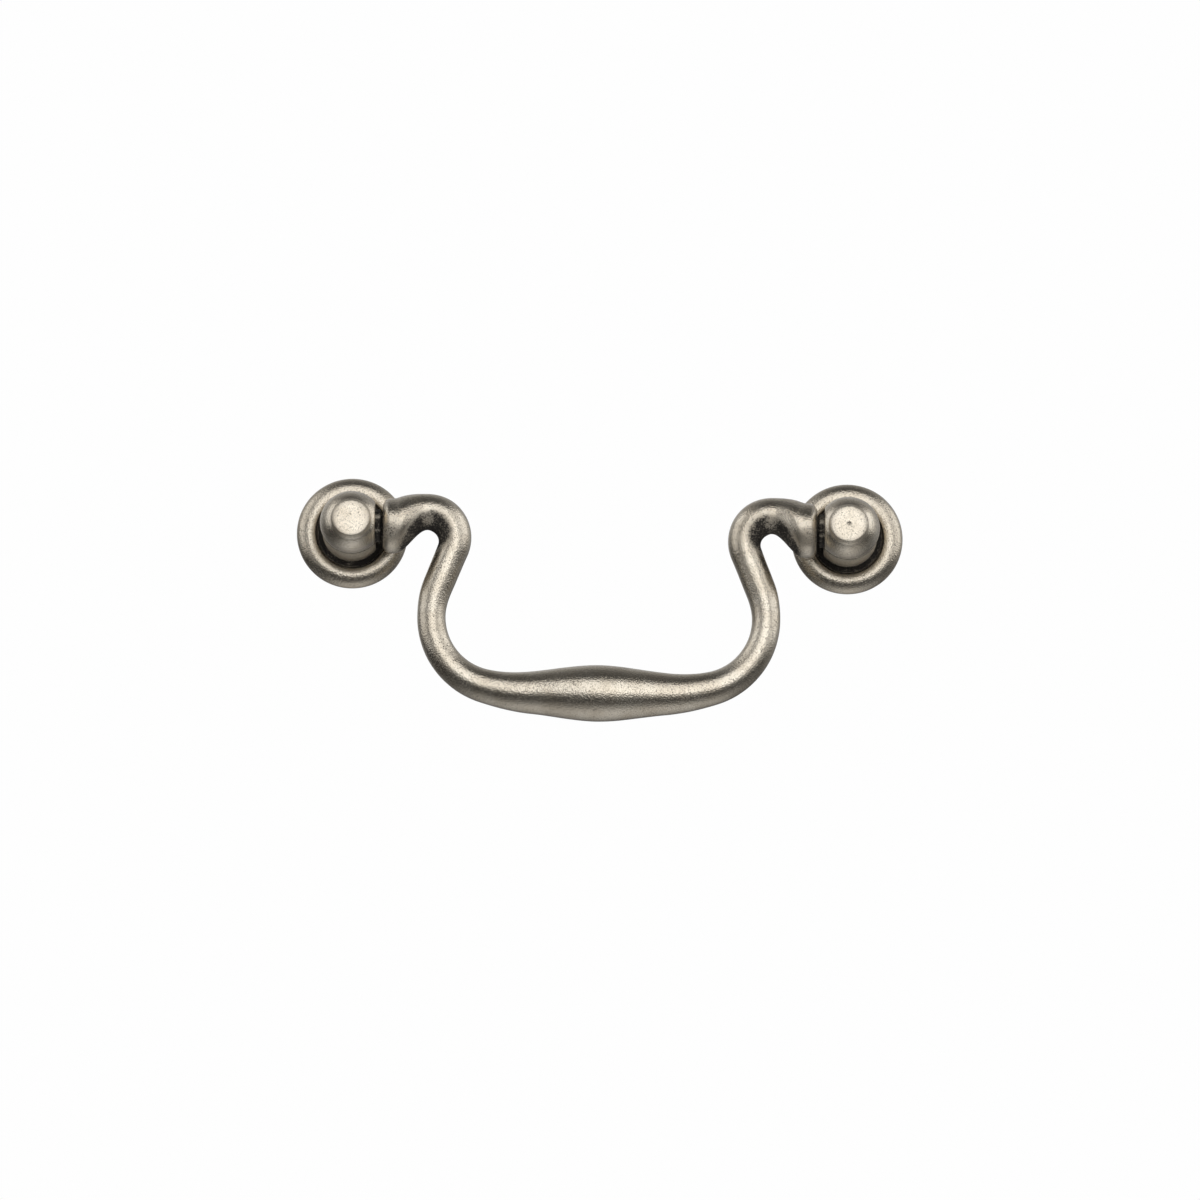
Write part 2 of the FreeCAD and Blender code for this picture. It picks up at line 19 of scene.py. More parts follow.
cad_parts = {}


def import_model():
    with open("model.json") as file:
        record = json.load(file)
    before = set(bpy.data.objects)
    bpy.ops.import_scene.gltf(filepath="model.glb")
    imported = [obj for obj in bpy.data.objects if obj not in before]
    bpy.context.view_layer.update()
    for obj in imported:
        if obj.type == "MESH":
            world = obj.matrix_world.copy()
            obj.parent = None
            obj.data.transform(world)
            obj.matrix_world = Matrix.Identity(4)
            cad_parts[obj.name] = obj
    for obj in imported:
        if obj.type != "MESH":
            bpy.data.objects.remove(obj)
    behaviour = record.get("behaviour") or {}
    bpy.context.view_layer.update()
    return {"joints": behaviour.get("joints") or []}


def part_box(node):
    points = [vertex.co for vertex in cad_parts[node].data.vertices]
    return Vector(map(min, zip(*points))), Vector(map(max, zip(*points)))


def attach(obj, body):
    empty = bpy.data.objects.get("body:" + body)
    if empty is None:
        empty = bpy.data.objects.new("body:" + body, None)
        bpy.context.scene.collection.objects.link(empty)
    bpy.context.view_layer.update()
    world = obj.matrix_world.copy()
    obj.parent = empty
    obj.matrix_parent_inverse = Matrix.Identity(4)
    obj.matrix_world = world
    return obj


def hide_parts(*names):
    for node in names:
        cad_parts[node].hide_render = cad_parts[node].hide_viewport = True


LOG = logging.getLogger("bail_pull")

MM = 0.001
QUARTER = math.pi / 2
# The play between the bail and each post, in millimetres
PLAY = 0.4
# The depth of the turning mark left in the middle of the right post's button, in millimetres
CENTRE_MARK = 0.2
# Faces that meet at more than this, in degrees, meet in a sharp edge
SHARP_TURN = 40.0
# An arc of an outline has a point at about each of these degrees, and at least so many steps
ARC_STEP = 5.0
FEWEST_STEPS = 4
# The size of the slight lumps of a casting, and the distance at which points are one, in metres
LUMP_SIZE = 5.0 * MM
WELD = 0.001 * MM
# A flat is cut only where the surface faces it by more than this, as a cosine
LEAST_FACING = 0.05

Corner = tuple[float, float, float]
Span = tuple[float, float]
Socket = bpy.types.NodeSocket
Sockets = bpy.types.bpy_prop_collection
Term = Union[Socket, Vector, float, tuple]


class Side(Enum):
    """The two ends of the pull, by the sign of X."""

    LEFT = -1
    RIGHT = 1

    @property
    def word(self) -> str:
        """The side's name in piece names."""
        return self.name.lower()


class Body(Enum):
    """The bodies that pieces ride on."""

    FIXED = "base"
    SWINGING = "bail"


# Small tools for numbers
def smooth_step(low: float, high: float, values: np.ndarray) -> np.ndarray:
    """Rises smoothly from 0 at low to 1 at high.

    Args:
        low: where the rise starts.
        high: where it ends.
        values: where it is wanted.

    Returns:
        The share at each value, from 0 to 1.
    """
    part = np.clip((values - low) / (high - low), 0.0, 1.0)
    return part * part * (3.0 - 2.0 * part)


def fade(edge: float, span: Span, values: np.ndarray) -> np.ndarray:
    """Rises smoothly from 0 to 1 across a span.

    Args:
        edge: the place that the span is measured from.
        span: where the rise starts and ends.
        values: where it is wanted.

    Returns:
        The share at each value, from 0 to 1.
    """
    return smooth_step(edge + span[0], edge + span[1], values)


def bump_at(centre: float, width: float, values: np.ndarray) -> np.ndarray:
    """A soft bump of height 1 about a centre.

    Args:
        centre: where the bump is highest.
        width: its half width, about where it falls to a third.
        values: where it is wanted.

    Returns:
        The height at each value.
    """
    return np.exp(-(((values - centre) / width) ** 2))


class Board:
    """A node tree, with short calls for adding and joining its nodes."""

    def __init__(self, tree: bpy.types.NodeTree) -> None:
        """Takes the tree that the calls work on."""
        self.tree = tree

    def add(self, kind: str, inputs: dict | None = None, **settings: object) -> bpy.types.Node:
        """Adds a node.

        Args:
            kind: the node's type.
            inputs: what goes into its sockets, by name or number: a value or another node's socket.
            **settings: the node's own properties.

        Returns:
            The new node.
        """
        node = self.tree.nodes.new(kind)
        for name, value in settings.items():
            setattr(node, name, value)
        for key, value in (inputs or {}).items():
            self.feed(node.inputs[key], value)
        return node

    def feed(self, socket: Socket, value: object) -> None:
        """Sets a socket to a value, or joins it to another node's socket."""
        if isinstance(value, bpy.types.NodeSocket):
            self.tree.links.new(value, socket)
        else:
            socket.default_value = value

    def math(self, operation: str, *terms: Term) -> Socket:
        """One step of arithmetic on up to three values or sockets."""
        return self.add("ShaderNodeMath", dict(enumerate(terms)), operation=operation).outputs[0]

    def vector(self, operation: str, *terms: Term) -> Socket:
        """One step of vector arithmetic on up to two vectors or sockets."""
        node = self.add("ShaderNodeVectorMath", dict(enumerate(terms)), operation=operation)
        return node.outputs["Value" if operation in ("DOT_PRODUCT", "LENGTH") else "Vector"]

    def scaled(self, vector: Term, factor: Term) -> Socket:
        """A vector times a number."""
        node = self.add("ShaderNodeVectorMath", {"Vector": vector, "Scale": factor}, operation="SCALE")
        return node.outputs["Vector"]

    def range(self, value: Term, low: float, high: float,
              start: float = 0.0, end: float = 1.0) -> Socket:
        """A smooth step of a value, from start at low to end at high."""
        node = self.add(
            "ShaderNodeMapRange",
            {"Value": value, "From Min": low, "From Max": high, "To Min": start, "To Max": end},
            interpolation_type="SMOOTHSTEP",
        )
        return node.outputs["Result"]

    def mix(self, share: Term, first: Term, second: Term) -> Socket:
        """A colour between two colours."""
        node = self.add("ShaderNodeMix", data_type="RGBA")
        for index, value in ((0, share), (6, first), (7, second)):
            self.feed(node.inputs[index], value)
        return node.outputs[2]

    def noise(self, where: Socket, size: float, detail: float, seed: float = 0.0) -> Socket:
        """Soft noise from 0 to 1.

        Args:
            where: the coordinates.
            size: the size of one lump in metres.
            detail: how many finer layers it has.
            seed: which noise it is.

        Returns:
            The socket with the noise.
        """
        inputs = {"Vector": where, "W": seed, "Scale": 1.0 / size, "Detail": detail}
        return self.add("ShaderNodeTexNoise", inputs, noise_dimensions="4D").outputs["Fac"]


# The finish
@dataclass(frozen=True)
class Pewter:
    """Cast pewter, rubbed bright on its high places, with dark patina left in its hollows, and the same
    dark colour painted as shade where the pieces ask for it.
    """

    slot: str
    bright: tuple = (0.73, 0.668, 0.565, 1.0)
    dull: tuple = (0.625, 0.557, 0.454, 1.0)
    # The dark colour of patina, which also paints shade
    patina_and_shade: tuple = (0.020, 0.017, 0.014, 1.0)
    roughness: float = 0.22
    unrubbed: float = 0.60
    cloud_size: float = 3.5 * MM
    grain_size: float = 0.28 * MM
    grain_depth: float = 0.075 * MM
    pit_spacing: float = 0.36 * MM
    pit_reach: float = 0.26
    pit_share: float = 0.16
    pit_depth: float = 0.65
    pit_relief: float = 1.5
    pit_edge: float = 0.4
    speck_size: float = 0.24 * MM
    speck_span: Span = (0.48, 0.76)
    speck_share: float = 0.4
    tone_span: Span = (0.30, 0.70)
    satin_span: Span = (0.25, 0.75)
    satin_change: float = 0.02
    tarnish: float = 0.55
    cloud_share: float = 0.8
    grain_share: float = 1.1
    patina_and_shade_cover_span: Span = (0.28, 1.0)

    def material(self) -> bpy.types.Material:
        """Makes the material.

        Returns:
            The finished material, which reads the piece's own place and its attribute of patina and
            painted shade.
        """
        material = bpy.data.materials.new(self.slot)
        material.use_nodes = True
        board = Board(material.node_tree)
        shader = material.node_tree.nodes["Principled BSDF"]
        where = board.add("ShaderNodeTexCoord").outputs["Object"]
        cloud = board.noise(where, self.cloud_size, 4.0)
        grain = board.noise(where, self.grain_size, 3.0, seed=2.0)
        pits = self.pits(board, where)
        patina_and_shade_cover = self.patina_and_shade_cover(board, cloud, grain)
        dark = board.math("MAXIMUM", patina_and_shade_cover, board.math("MULTIPLY", pits, self.pit_depth))
        specks = board.range(board.noise(where, self.speck_size, 1.0, seed=5.0), *self.speck_span)
        dark = board.math("MULTIPLY_ADD", specks, self.speck_share, dark)
        tone = board.mix(board.range(cloud, *self.tone_span), self.dull, self.bright)
        board.feed(shader.inputs["Base Color"], board.mix(dark, tone, self.patina_and_shade))
        tarnish = board.math("MULTIPLY", dark, self.tarnish)
        board.feed(shader.inputs["Metallic"], board.math("SUBTRACT", 1.0, tarnish))
        ends = (self.roughness + self.satin_change, self.roughness - self.satin_change)
        satin = board.range(cloud, *self.satin_span, *ends)
        rough = board.math("MULTIPLY_ADD", self.cover(board), self.unrubbed, satin)
        board.feed(shader.inputs["Roughness"], rough)
        height = board.math("SUBTRACT", grain, board.math("MULTIPLY", pits, self.pit_relief))
        relief = board.add("ShaderNodeBump", {
            "Strength": 1.0, "Distance": self.grain_depth, "Height": height,
        })
        board.feed(shader.inputs["Normal"], relief.outputs["Normal"])
        return material

    def pits(self, board: Board, where: Socket) -> Socket:
        """Pinholes of the casting, 1 in a pit and 0 outside.

        Args:
            board: the material's nodes.
            where: the coordinates.

        Returns:
            The socket with the pits.
        """
        cells = board.add("ShaderNodeTexVoronoi", {"Vector": where, "Scale": 1.0 / self.pit_spacing})
        chance = board.add("ShaderNodeSeparateColor", {"Color": cells.outputs["Color"]}).outputs
        chosen = board.math("LESS_THAN", chance["Red"], self.pit_share)
        least = self.pit_reach * self.pit_edge
        reach = board.math("MULTIPLY_ADD", chance["Green"], self.pit_reach, least)
        out = board.math("DIVIDE", cells.outputs["Distance"], reach)
        inside = board.range(out, 1.0, self.pit_edge)
        return board.math("MULTIPLY", chosen, inside)

    def cover(self, board: Board) -> Socket:
        """The piece's own attribute of patina and painted shade."""
        return board.add("ShaderNodeAttribute", attribute_name="patina_and_shade").outputs["Fac"]

    def patina_and_shade_cover(self, board: Board, cloud: Socket, grain: Socket) -> Socket:
        """The cover of patina and painted shade, broken up at its edge.

        Args:
            board: the material's nodes.
            cloud: the broad noise.
            grain: the fine noise.

        Returns:
            The socket with the cover, from 0 to 1.
        """
        cover = self.cover(board)
        for noise, share in ((cloud, self.cloud_share), (grain, self.grain_share)):
            cover = board.math("MULTIPLY_ADD", board.math("SUBTRACT", noise, 0.5), share, cover)
        return board.range(cover, *self.patina_and_shade_cover_span)


# Node trees that shape the pieces
class FormTree:
    """A tree of geometry nodes with named inputs, which gives one plain mesh."""

    def __init__(self, name: str, inputs: dict[str, tuple[str, object]]) -> None:
        """Makes the tree with its inputs.

        Args:
            name: the tree's name.
            inputs: each input's type and default, by name.
        """
        self.tree = bpy.data.node_groups.new(name, "GeometryNodeTree")
        self.board = Board(self.tree)
        face = self.tree.interface
        face.new_socket("Geometry", in_out="OUTPUT", socket_type="NodeSocketGeometry")
        self.identifiers = {}
        for label, (kind, default) in {"Line": ("Geometry", None), **inputs}.items():
            socket = face.new_socket(label, in_out="INPUT", socket_type=f"NodeSocket{kind}")
            if default is not None:
                socket.default_value = default
            self.identifiers[label] = socket.identifier
        self.inputs = self.board.add("NodeGroupInput").outputs

    def attribute(self, name: str, kind: str) -> Socket:
        """A named attribute of the geometry."""
        node = self.board.add("GeometryNodeInputNamedAttribute", {"Name": name}, data_type=kind)
        return node.outputs["Attribute"]

    def store(self, geometry: Socket, name: str, kind: str, value: Socket) -> Socket:
        """Keeps a value on each point under a name."""
        inputs = {"Geometry": geometry, "Name": name, "Value": value}
        node = self.board.add("GeometryNodeStoreNamedAttribute", inputs, data_type=kind, domain="POINT")
        return node.outputs["Geometry"]

    def ring(self, place: Socket) -> Socket:
        """A ring of radius 1 whose points keep their own place as spoke."""
        inputs = {"Resolution": self.inputs["Around"], "Radius": 1.0}
        ring = self.board.add("GeometryNodeCurvePrimitiveCircle", inputs)
        return self.store(ring.outputs["Curve"], "spoke", "FLOAT_VECTOR", place)

    def close(self, geometry: Socket, waver: Socket) -> None:
        """Ends the tree: the slight waver of a casting, smooth shading and the metal.

        Args:
            geometry: the finished form.
            waver: how far the surface wavers at each point, in metres.
        """
        board = self.board
        place = board.add("GeometryNodeInputPosition").outputs["Position"]
        lumps = board.math("SUBTRACT", board.noise(place, LUMP_SIZE, 1.0, seed=7.0), 0.5)
        normal = board.add("GeometryNodeInputNormal").outputs["Normal"]
        offset = board.scaled(normal, board.math("MULTIPLY", lumps, waver))
        moved = board.add("GeometryNodeSetPosition", {"Geometry": geometry, "Offset": offset})
        smooth = board.add("GeometryNodeSetShadeSmooth", {"Geometry": moved.outputs["Geometry"]})
        real = board.add("GeometryNodeRealizeInstances", {"Geometry": smooth.outputs["Geometry"]})
        metal = {"Geometry": real.outputs["Geometry"], "Material": self.inputs["Metal"]}
        painted = board.add("GeometryNodeSetMaterial", metal)
        board.add("NodeGroupOutput", {"Geometry": painted.outputs["Geometry"]})

    def make(self, line: bpy.types.Mesh, **values: object) -> bpy.types.Mesh:
        """Runs the tree on a line.

        Args:
            line: the line that the form follows.
            **values: the tree's inputs, with _ for a space.

        Returns:
            A closed mesh with its faces outwards.
        """
        holder = bpy.data.objects.new("form", line)
        bpy.context.scene.collection.objects.link(holder)
        modifier = holder.modifiers.new("form", "NODES")
        modifier.node_group = self.tree
        for label, value in values.items():
            modifier[self.identifiers[label.replace("_", " ").capitalize()]] = value
        mesh = plain_mesh(holder)
        holder.modifiers.remove(modifier)
        bpy.data.objects.remove(holder)
        bpy.data.meshes.remove(line)
        face_outwards(mesh)
        return mesh


def turning_tree() -> FormTree:
    """The tree that turns an outline about its upright axis, as a lathe does.

    The outline's X is the distance from the axis and its Y the height along it. The tree evens out
    and softens the outline, turns it, cuts the flat, and cuts the thread of a tapped hole.

    Returns:
        The tree.
    """
    form = FormTree("turned_form", {
        "Around": ("Int", 160),
        "Spacing": ("Float", 0.12 * MM),
        "Softening": ("Int", 3),
        "Flat offset": ("Float", 1.0),
        "Flat edge": ("Float", 0.25 * MM),
        "Thread radius": ("Float", 0.0),
        "Thread reach": ("Float", 0.0),
        "Thread pitch": ("Float", 0.7 * MM),
        "Thread depth": ("Float", 0.3 * MM),
        "Waver": ("Float", 0.0),
        "Metal": ("Material", None),
    })
    board, given = form.board, form.inputs
    line = board.add("GeometryNodeMeshToCurve", {"Mesh": given["Line"]}).outputs["Curve"]
    steps = {"Curve": line, "Length": given["Spacing"]}
    even = board.add("GeometryNodeResampleCurve", steps, mode="LENGTH")
    place = board.add("GeometryNodeInputPosition").outputs["Position"]
    soft = board.add(
        "GeometryNodeBlurAttribute", {"Value": place, "Iterations": given["Softening"]},
        data_type="FLOAT_VECTOR",
    )
    ends = board.add("GeometryNodeCurveEndpointSelection").outputs["Selection"]
    free = board.add("FunctionNodeBooleanMath", {0: ends}, operation="NOT").outputs[0]
    softened = board.add("GeometryNodeSetPosition", {
        "Geometry": even.outputs["Curve"], "Selection": free, "Position": soft.outputs["Value"],
    }).outputs["Geometry"]
    outline = form.store(softened, "outline", "FLOAT_VECTOR", place)
    ring = form.ring(place)
    sweep = {"Curve": ring, "Profile Curve": outline}
    swept = board.add("GeometryNodeCurveToMesh", sweep).outputs["Mesh"]
    spot = board.add("ShaderNodeSeparateXYZ", {0: form.attribute("outline", "FLOAT_VECTOR")}).outputs
    spoke = board.add("ShaderNodeSeparateXYZ", {0: form.attribute("spoke", "FLOAT_VECTOR")}).outputs
    facing = board.math("MAXIMUM", spoke[0], LEAST_FACING)
    flat = board.math("DIVIDE", given["Flat offset"], facing)
    radius = board.math("SMOOTH_MIN", spot[0], flat, given["Flat edge"])
    radius = board.math("ADD", radius, thread_cut(form, spot, spoke))
    turned = board.add("ShaderNodeCombineXYZ", {
        0: board.math("MULTIPLY", radius, spoke[0]),
        1: board.math("MULTIPLY", radius, spoke[1]),
        2: spot[1],
    }).outputs[0]
    shaped = board.add("GeometryNodeSetPosition", {"Geometry": swept, "Position": turned})
    closed = board.add("GeometryNodeMergeByDistance", {
        "Geometry": shaped.outputs["Geometry"], "Distance": WELD,
    })
    form.close(closed.outputs["Geometry"], given["Waver"])
    return form


def thread_cut(form: FormTree, spot: Sockets, spoke: Sockets) -> Socket:
    """How much the thread of a tapped hole widens it at each point.

    Args:
        form: the tree.
        spot: the sockets with the distance from the axis and the height.
        spoke: the sockets with the direction round the axis.

    Returns:
        The socket with the extra radius.
    """
    board, given = form.board, form.inputs
    turn = board.math("ARCTAN2", spoke[1], spoke[0])
    rise = board.math("DIVIDE", board.math("MULTIPLY", spot[1], 2.0 * math.pi), given["Thread pitch"])
    wave = board.math("SINE", board.math("ADD", rise, turn))
    share = board.math("MULTIPLY_ADD", wave, 0.5, 0.5)
    narrow = board.math("LESS_THAN", spot[0], given["Thread radius"])
    near = board.math("LESS_THAN", spot[1], given["Thread reach"])
    depth = board.math("MULTIPLY", given["Thread depth"], board.math("MULTIPLY", narrow, near))
    return board.math("MULTIPLY", share, depth)


def casting_tree() -> FormTree:
    """The tree that skins round sections of changing thickness along a middle line.

    Each point of the line carries its section: thickness, across (the way across the section in the
    bail's plane), bend (towards the inside of the bend) and cast (1 on the casting, 0 on the pins).

    Returns:
        The tree.
    """
    form = FormTree("cast_bail", {
        "Around": ("Int", 80),
        "Waver": ("Float", 0.0),
        "Metal": ("Material", None),
    })
    board, given = form.board, form.inputs
    place = board.add("GeometryNodeInputPosition").outputs["Position"]
    line = board.add("GeometryNodeMeshToCurve", {"Mesh": given["Line"]}).outputs["Curve"]
    line = form.store(line, "centre", "FLOAT_VECTOR", place)
    ring = form.ring(place)
    swept = board.add("GeometryNodeCurveToMesh", {
        "Curve": line, "Profile Curve": ring, "Fill Caps": True,
    }).outputs["Mesh"]
    spoke = board.add("ShaderNodeSeparateXYZ", {0: form.attribute("spoke", "FLOAT_VECTOR")}).outputs
    sideways = board.scaled(form.attribute("across", "FLOAT_VECTOR"), spoke[0])
    deep = board.add("ShaderNodeCombineXYZ", {1: spoke[1]}).outputs[0]
    way = board.vector("ADD", sideways, deep)
    thickness = form.attribute("thickness", "FLOAT")
    bend = form.attribute("bend", "FLOAT_VECTOR")
    tight = board.math("MULTIPLY", board.vector("LENGTH", bend), thickness)
    swept = form.store(swept, "tight", "FLOAT", tight)
    inwards = board.vector("DOT_PRODUCT", way, board.vector("NORMALIZE", bend))
    swept = form.store(swept, "hollow", "FLOAT", inwards)
    centre = form.attribute("centre", "FLOAT_VECTOR")
    skin = board.vector("ADD", centre, board.scaled(way, thickness))
    shaped = board.add("GeometryNodeSetPosition", {"Geometry": swept, "Position": skin})
    waver = board.math("MULTIPLY", given["Waver"], form.attribute("cast", "FLOAT"))
    form.close(shaped.outputs["Geometry"], waver)
    return form


# Small tools for meshes
def plain_mesh(holder: bpy.types.Object) -> bpy.types.Mesh:
    """The object's evaluated shape as a mesh of its own."""
    bpy.context.view_layer.update()
    evaluated = holder.evaluated_get(bpy.context.evaluated_depsgraph_get())
    return bpy.data.meshes.new_from_object(evaluated)


def face_outwards(mesh: bpy.types.Mesh) -> None:
    """Turns the faces of a closed mesh outwards."""
    work = bmesh.new()
    work.from_mesh(mesh)
    bmesh.ops.recalc_face_normals(work, faces=work.faces)
    if work.calc_volume(signed=True) < 0:
        bmesh.ops.reverse_faces(work, faces=work.faces)
    work.to_mesh(mesh)
    work.free()


def line_mesh(points: list[Vector], closed: bool = False) -> bpy.types.Mesh:
    """A mesh of edges through the points, in order."""
    edges = [(index, index + 1) for index in range(len(points) - 1)]
    if closed:
        edges.append((len(points) - 1, 0))
    mesh = bpy.data.meshes.new("line")
    mesh.from_pydata(points, edges, [])
    return mesh


def outline_points(corners: list[Corner]) -> list[Vector]:
    """An outline of straights and arcs.

    Args:
        corners: each corner's distance from the axis and its height in millimetres, and the turn in
            degrees of the curve to the next corner: positive for a crown, negative for a hollow, 0
            for a straight.

    Returns:
        The points of the outline, in metres.
    """
    points = []
    for index, (across, up, turn) in enumerate(corners):
        start = Vector((across, up, 0.0)) * MM
        points.append(start)
        if turn:
            after = corners[index + 1]
            points += arc_points(start, Vector((after[0], after[1], 0.0)) * MM, math.radians(turn))
    return points


def arc_points(start: Vector, end: Vector, turn: float) -> list[Vector]:
    """The points between the ends of an arc.

    Args:
        start: where the arc starts.
        end: where it ends.
        turn: its turn, positive where it bulges to the right of the way.

    Returns:
        Points on the arc, its two ends left out.
    """
    chord = end - start
    right = Vector((chord.y, -chord.x, 0.0))
    centre = start + chord * 0.5 - right * (0.5 / math.tan(turn / 2))
    steps = max(FEWEST_STEPS, round(abs(math.degrees(turn)) / ARC_STEP))
    arm = start - centre
    return [
        centre + Matrix.Rotation(turn * index / steps, 3, "Z") @ arm for index in range(1, steps)
    ]


def cut_or_join(mesh: bpy.types.Mesh, tool: bpy.types.Mesh, operation: str) -> bpy.types.Mesh:
    """Cuts one closed mesh with another, or joins the two.

    Args:
        mesh: the mesh that is worked on.
        tool: the other mesh.
        operation: UNION or DIFFERENCE.

    Returns:
        The new mesh.
    """
    work = bpy.data.objects.new("work", mesh)
    other = bpy.data.objects.new("tool", tool)
    for thing in (work, other):
        bpy.context.scene.collection.objects.link(thing)
    modifier = work.modifiers.new("cut", "BOOLEAN")
    modifier.operation = operation
    modifier.solver = "EXACT"
    modifier.object = other
    result = plain_mesh(work)
    work.modifiers.remove(modifier)
    for thing in (work, other):
        bpy.data.objects.remove(thing)
    return result


def mark_sharp_edges(mesh: bpy.types.Mesh, limit: float) -> None:
    """Marks the edges where two faces meet at more than the limit, in degrees."""
    work = bmesh.new()
    work.from_mesh(mesh)
    for edge in work.edges:
        edge.smooth = len(edge.link_faces) == 2 and edge.calc_face_angle(0.0) < math.radians(limit)
    work.to_mesh(mesh)
    work.free()


def points_of(mesh: bpy.types.Mesh) -> np.ndarray:
    """The places of a mesh's points, one row each, in millimetres."""
    places = np.zeros(len(mesh.vertices) * 3, np.float32)
    mesh.vertices.foreach_get("co", places)
    return places.reshape(-1, 3).astype(float) / MM


def keep_values(mesh: bpy.types.Mesh, name: str, values: np.ndarray) -> None:
    """Keeps a number on each point of a mesh."""
    attribute = mesh.attributes.new(name, "FLOAT", "POINT")
    attribute.data.foreach_set("value", np.clip(values, 0.0, 1.0).astype(np.float32))


def read_values(mesh: bpy.types.Mesh, name: str) -> np.ndarray:
    """The number kept on each point of a mesh."""
    values = np.zeros(len(mesh.vertices), np.float32)
    mesh.attributes[name].data.foreach_get("value", values)
    return values.astype(float)


def add_piece(mesh: bpy.types.Mesh, name: str, body: Body, node: str) -> bpy.types.Object:
    """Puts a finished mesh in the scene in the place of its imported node.

    Args:
        mesh: the finished mesh, with its place in it.
        name: the piece's name.
        body: the body that it rides on.
        node: the node that it stands for.

    Returns:
        The new object.
    """
    mesh.name = name
    piece = bpy.data.objects.new(name, mesh)
    bpy.context.scene.collection.objects.link(piece)
    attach(piece, body.value)
    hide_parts(node)
    LOG.info("%s: %d points, %d faces", name, len(mesh.vertices), len(mesh.polygons))
    return piece


# The pull's own pieces
@dataclass
class Rose:
    """The round plate behind a post, a broad ring about a sunk floor. Sizes in millimetres."""

    side: Side
    axis_x: float
    hole_radius: float = 4.1
    recess_height: float = 1.2
    recess_radius: float = 6.15
    lip_radius: float = 6.6
    lip_height: float = 2.25
    lip_turn: float = 23.8
    crest_radius: float = 7.55
    crest_height: float = 2.45
    ring_turn: float = 80.0
    edge_radius: float = 10.0
    edge_height: float = 0.5
    edge_round: float = 0.25
    around: int = 288
    waver: float = 0.03
    recess_span: Span = (-0.2, 0.4)
    back_patina: float = 0.5
    back_span: Span = (0.05, 0.5)

    def outline(self) -> list[Corner]:
        """The rose's section, from its hole outwards and back over the ring and the floor."""
        return [
            (self.hole_radius, 0.0, 0.0),
            (self.edge_radius - self.edge_round, 0.0, 90.0),
            (self.edge_radius, self.edge_round, 0.0),
            (self.edge_radius, self.edge_height, self.ring_turn),
            (self.crest_radius, self.crest_height, self.lip_turn),
            (self.lip_radius, self.lip_height, 0.0),
            (self.recess_radius, self.recess_height, 0.0),
            (self.hole_radius, self.recess_height, 0.0),
        ]

    def patina_and_shade(self, places: np.ndarray) -> np.ndarray:
        """How dark each point is: patina, with painted shade in the recess.

        Args:
            places: the points in millimetres.

        Returns:
            The patina at each point, from 0 to 1.
        """
        radius = np.hypot(places[:, 0] - self.axis_x, places[:, 2])
        # The recess goes dark: patina, and painted shade where the post shades the recess
        recess = 1.0 - fade(self.recess_radius, self.recess_span, radius)
        front = fade(0.0, self.back_span, -places[:, 1])
        return np.maximum(recess * front, self.back_patina * (1.0 - front))

    def build(self, turning: FormTree, finish: Pewter, metal: bpy.types.Material) -> bpy.types.Object:
        """Builds the rose.

        Args:
            turning: the tree that turns an outline.
            finish: the finish; not used.
            metal: its material.

        Returns:
            The finished rose.
        """
        line = line_mesh(outline_points(self.outline()), closed=True)
        mesh = turning.make(line, around=self.around, waver=self.waver * MM, metal=metal)
        mesh.transform(out_of_drawer(self.side, self.axis_x))
        keep_values(mesh, "patina_and_shade", self.patina_and_shade(points_of(mesh)))
        name = f"rose_{self.side.word}"
        return add_piece(mesh, f"{name}_ringed", Body.FIXED, name)


def out_of_drawer(side: Side, axis_x: float) -> Matrix:
    """The place of a turned piece: its axis out of the drawer, its own X towards the bail.

    Args:
        side: the end of the pull.
        axis_x: the axis's place along the pull, in millimetres.

    Returns:
        The matrix that places it.
    """
    half_turn = Matrix.Rotation(0.0 if side is Side.LEFT else math.pi, 4, "Z")
    return Matrix.Translation((axis_x * MM, 0.0, 0.0)) @ Matrix.Rotation(QUARTER, 4, "X") @ half_turn


@dataclass(frozen=True)
class PostWearAndPaintedLight:
    """Where patina stays on a post, and where shade and glints are painted: shares from 0 to 1, and
    sizes in millimetres.

    Each span starts and ends a fade, measured from the edge that it is named for.
    """

    back: float = 0.5
    back_span: Span = (0.05, 0.5)
    foot_rubbed: float = 0.64
    foot_span: Span = (0.2, 2.4)
    rim_span: Span = (0.0, 0.1)
    rim_shade_line_rise: float = 0.3
    rim_shade_line_width: float = 0.5
    cove: float = 0.12
    cove_out: float = 0.25
    cove_width: float = 0.3
    shoulder_span: Span = (-0.2, 0.1)
    wall_span: Span = (-0.5, -0.2)
    button: float = 0.34
    button_span: Span = (-1.3, -0.1)
    pad: float = 0.9
    flat_span: Span = (-0.3, 0.0)
    pad_span: Span = (0.3, 2.0)
    glint_height: float = 1.25
    upper_glint: float = 0.7
    upper_width: float = 0.35
    lower_glint: float = 0.4
    lower_width: float = 0.25
    socket_edge: float = 0.1


